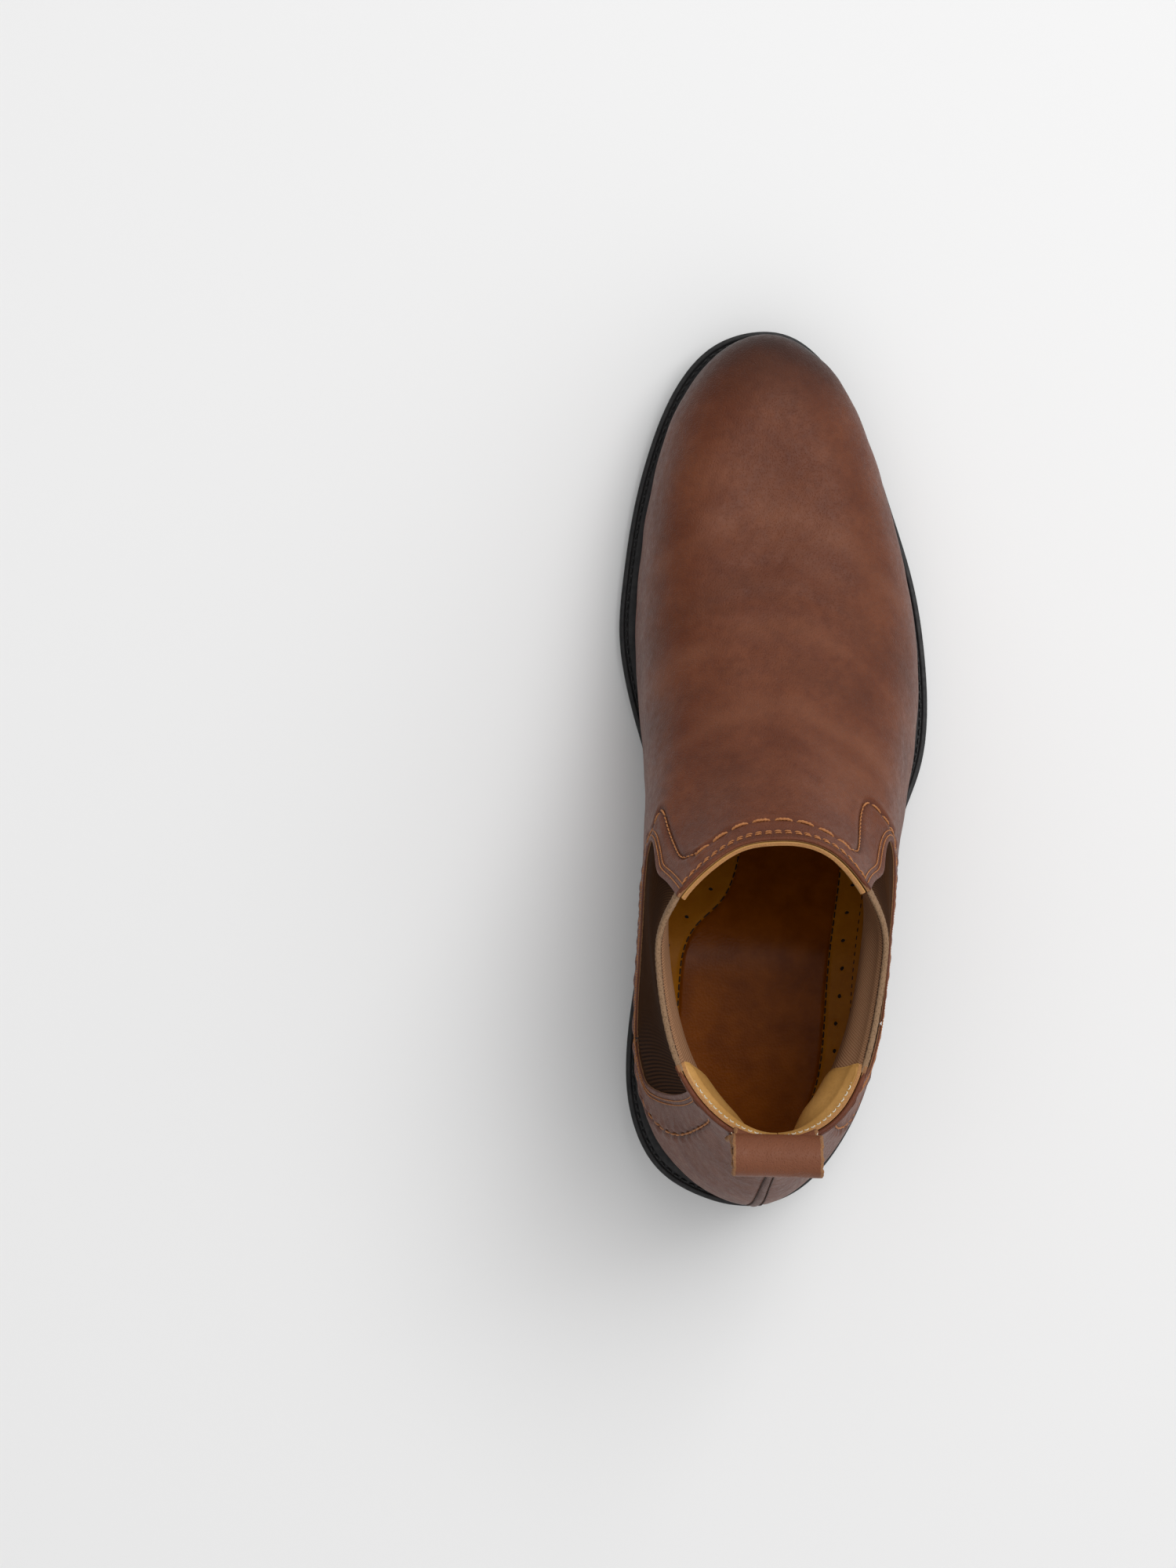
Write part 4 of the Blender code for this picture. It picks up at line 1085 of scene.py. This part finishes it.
for x, y in holes:
    grid[..., 2] -= 0.35 * bump(np.hypot(gx - x, gy - y), 0, 0.9)
# the tone marks the centre, which the sock material paints darker as shade
sock = solid("sock_lining_leather", grid, quads(*grid.shape[:2]), [SOCK], tone=inner)
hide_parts("sock_lining")
# painted shade: near-black discs sunk into the dents of the perforations stand in for the shade inside the holes
dots = []
a = np.linspace(0, 2 * math.pi, 16, endpoint=False)
for x, y in holes:
    z = float(seat_height(np.array([x]), np.array([y]))[0])
    rim = np.column_stack([x + 0.78 * np.cos(a), y + 0.78 * np.sin(a), np.full(16, z - 0.18)])
    dots.append((np.vstack([rim - np.array([0, 0, 0.5]), rim]), quads(2, 16, wrap=True), 16))
dots = stack("sock_punched_holes", dots, [HOLE_SHADE])
for i, (table, off) in enumerate(((LINE_MED, 0.1), (LINE_LAT, -0.1), (LINE_LAT, -8.6))):
    y = np.arange(-134 if i < 2 else -112, -4 if i < 2 else -14, 0.3)
    x = line_x(table, y) - off
    pieces = []
    for k in range(0, len(y) - 9, 9):
        q = np.column_stack([x[k:k + 7], y[k:k + 7]])
        t = np.linspace(-1, 1, 7)
        z = seat_height(q[:, 0], q[:, 1]) - 0.42 + 0.3 * (1 - t ** 4)
        pieces.append(tube(np.column_stack([q, z]), 0.24, 6))
    line = stack(f"sock_stitches_{i + 1}", pieces, [DARK_THREAD])

# ------------------------------------------------------------------ pull tab
# the strap's middle line as (y, z) from the hinge: up outside, over, and down inside the collar
LOOP = [(0.6, -8), (0.1, -4.5), (0, -1), (0.9, 1.5), (2.7, 5), (3.6, 9), (2.2, 13), (-1.8, 15.4), (-6.2, 14.4),
        (-8, 10.8), (-7, 7), (-4.2, 4.2), (-2.1, 1.8), (-1.65, -1), (-1.7, -4), (-2.6, -7), (-3.9, -10)]
y0, z0 = TAB_HINGE
COLLAR_Z = 142.0 - z0
sec = open_spline(np.arange(17), np.array(LOOP), np.linspace(0, 16, 190))
d = np.gradient(sec, axis=0)
nor = unit(np.stack([d[:, 1], -d[:, 0]], axis=1))
across = ends_first(TAB_WIDTH, 60)
x = TAB_X - TAB_WIDTH / 2 + TAB_WIDTH * across
side_d = np.minimum(across, 1 - across) * TAB_WIDTH
length = arc_length(sec)
rag = 0.16 * np.sin(length * 1.3) + 0.12 * np.sin(length * 3.1 + 1) + 0.08 * np.sin(length * 7.7)
half = TAB_THICK / 2
drop = 0.4 - np.sqrt(np.maximum(0.16 - np.clip(0.4 - side_d, 0, 0.4) ** 2, 0))
verts = []
for sgn in (1, -1):
    xx = x[None] + rag[:, None] * np.exp(-side_d / 1.2)[None] * np.where(across < 0.5, 1, -1)[None]
    skin = half - drop[None] + 0.05 * wander(np.stack([xx, np.repeat(length[:, None], len(x), 1), 0 * xx], -1), 3.0, 21)
    yy = y0 + sec[:, 0:1] + sgn * nor[:, 0:1] * skin
    zz = z0 + sec[:, 1:2] + sgn * nor[:, 1:2] * skin
    free = np.stack([xx, yy - 0.024 * (xx - TAB_X), zz], -1)
    rel = zz - z0
    inside_leg = (np.arange(len(sec)) < len(sec) // 2)[:, None]
    under_skin = np.where(inside_leg, 1.85 + sgn * skin, -1.15 - sgn * skin)
    sewn_down = at(8 - (xx + 4.5) / 18.2, 7 + (rel - COLLAR_Z) / 7.5, under_skin)[0]
    hold = smooth((0.6 - rel) / 3.6)[..., None]
    verts.append(free * (1 - hold) + sewn_down * hold)
nr, nc = verts[0].shape[:2]
f1 = quads(nr, nc)
f2 = quads(nr, nc, base=nr * nc)[:, ::-1]
walls = []
for c in (0, nc - 1):
    a = np.arange(nr - 1) * nc + c
    walls.append(np.stack([a, a + nc, a + nc + nr * nc, a + nr * nc], -1))
for r in (0, nr - 1):
    a = r * nc + np.arange(nc - 1)
    walls.append(np.stack([a, a + 1, a + 1 + nr * nc, a + nr * nc], -1))
near_edge = (np.minimum(f1[:, 0] % nc, nc - 2 - f1[:, 0] % nc) < 4).astype(int)
which = np.concatenate([near_edge, near_edge, np.ones(sum(len(w) for w in walls))])
tab = solid("pull_tab_strap", np.vstack([w.reshape(-1, 3) for w in verts]), np.vstack([f1, f2] + walls),
            [LEATHER, RAW], which, np.full(2 * nr * nc, -0.3), body=None)
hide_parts("pull_tab")
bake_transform(tab)

for i, at_v in enumerate((6.36, 6.56)):
    row = Row([(u, at_v) for u in np.linspace(7.36, 8.6, 7)])
    sewn(f"stitches_pull_tab_{i + 1}", row, 2.3, 1.7, 0.22, DARK_THREAD, 0.12, -1.85)

# loose thread ends where the tab is sewn in
ends = []
for x, dy, dz, lean in ((TAB_X - 12.6, 2.6, 0.6, -0.9), (TAB_X + 12.4, 2.4, 0.6, 1.0), (TAB_X + 12.9, 2.0, 0.2, 0.3)):
    t = np.linspace(0, 1, 9)
    z = z0 - 2.6 + 2.6 * np.sin(t * 2.4) + dz * t
    p = np.column_stack([x + lean * t + 0.4 * np.sin(t * 5), y0 + 1.6 + dy * t, z])
    ends.append(tube(p, 0.17 * (1 - 0.3 * t), 7))
ends = stack("pull_tab_thread_ends", ends, [PALE_THREAD])

# ------------------------------------------------------------------ inner pieces that stay as they are
for names, look in ((("toe_puff", "vamp_interlining", "heel_counter"), FELT),
                    (("collar_padding", "footbed_foam"), FOAM), (("insole_board",), FIBRE), (("bottom_filler",), CORK),
                    (("shank",), STEEL), (("vamp_lining",), LINING), (("pull_tab_anchor",), LEATHER),
                    (tuple(f"heel_nail_{i}" for i in range(1, 6)), STEEL)):
    for name in names:
        for held in bpy.data.objects[name].material_slots:
            held.material = look


# ------------------------------------------------------------------ stage
camera = bpy.data.cameras.new("camera")
camera.sensor_fit = "VERTICAL"
camera.sensor_height = 36.0
camera.lens = 92.23
eye = bpy.data.objects.new("camera", camera)
scene.collection.objects.link(eye)
eye.location = (-0.06422, -0.00585, 1.4)
eye.rotation_euler = (0, 0, 0)
scene.camera = eye

bpy.ops.mesh.primitive_plane_add(size=40)
floor = bpy.context.object
floor.name = "floor"
floor_look = plain_look("floor_paper", (0.90, 0.90, 0.90, 1), (0.905, 0.905, 0.905, 1), 0.95, 3)
floor.data.materials.append(floor_look)
aim = Vector((0, 0, 0.05))
for name, place, size, power in (("soft_key", (0.6, 0.65, 1.7), 1.1, 16.0), ("soft_fill", (-0.5, -0.5, 1.9), 1.6, 3.5)):
    lamp = bpy.data.lights.new(name, "AREA")
    lamp.energy = power
    lamp.size = size
    obj = bpy.data.objects.new(name, lamp)
    obj.location = place
    obj.rotation_euler = (aim - Vector(place)).to_track_quat("-Z", "Y").to_euler()
    scene.collection.objects.link(obj)
world = bpy.data.worlds.new("studio")
scene.world = world
world.use_nodes = True
sky = world.node_tree
where = sky.nodes.new("ShaderNodeTexCoord")
axis = sky.nodes.new("ShaderNodeSeparateXYZ")
fade = sky.nodes.new("ShaderNodeMapRange")
fade.interpolation_type = "SMOOTHSTEP"
for i, limit in enumerate((-0.95, 0.25, 0.16, 0.72)):  # from the dark side to the light side
    fade.inputs[i + 1].default_value = limit
sky.links.new(where.outputs["Generated"], axis.inputs[0])
sky.links.new(axis.outputs[0], fade.inputs[0])
sky.links.new(fade.outputs[0], sky.nodes["Background"].inputs[1])
sky.nodes["Background"].inputs[0].default_value = (1, 1, 1, 1)
scene.view_settings.view_transform = "Standard"
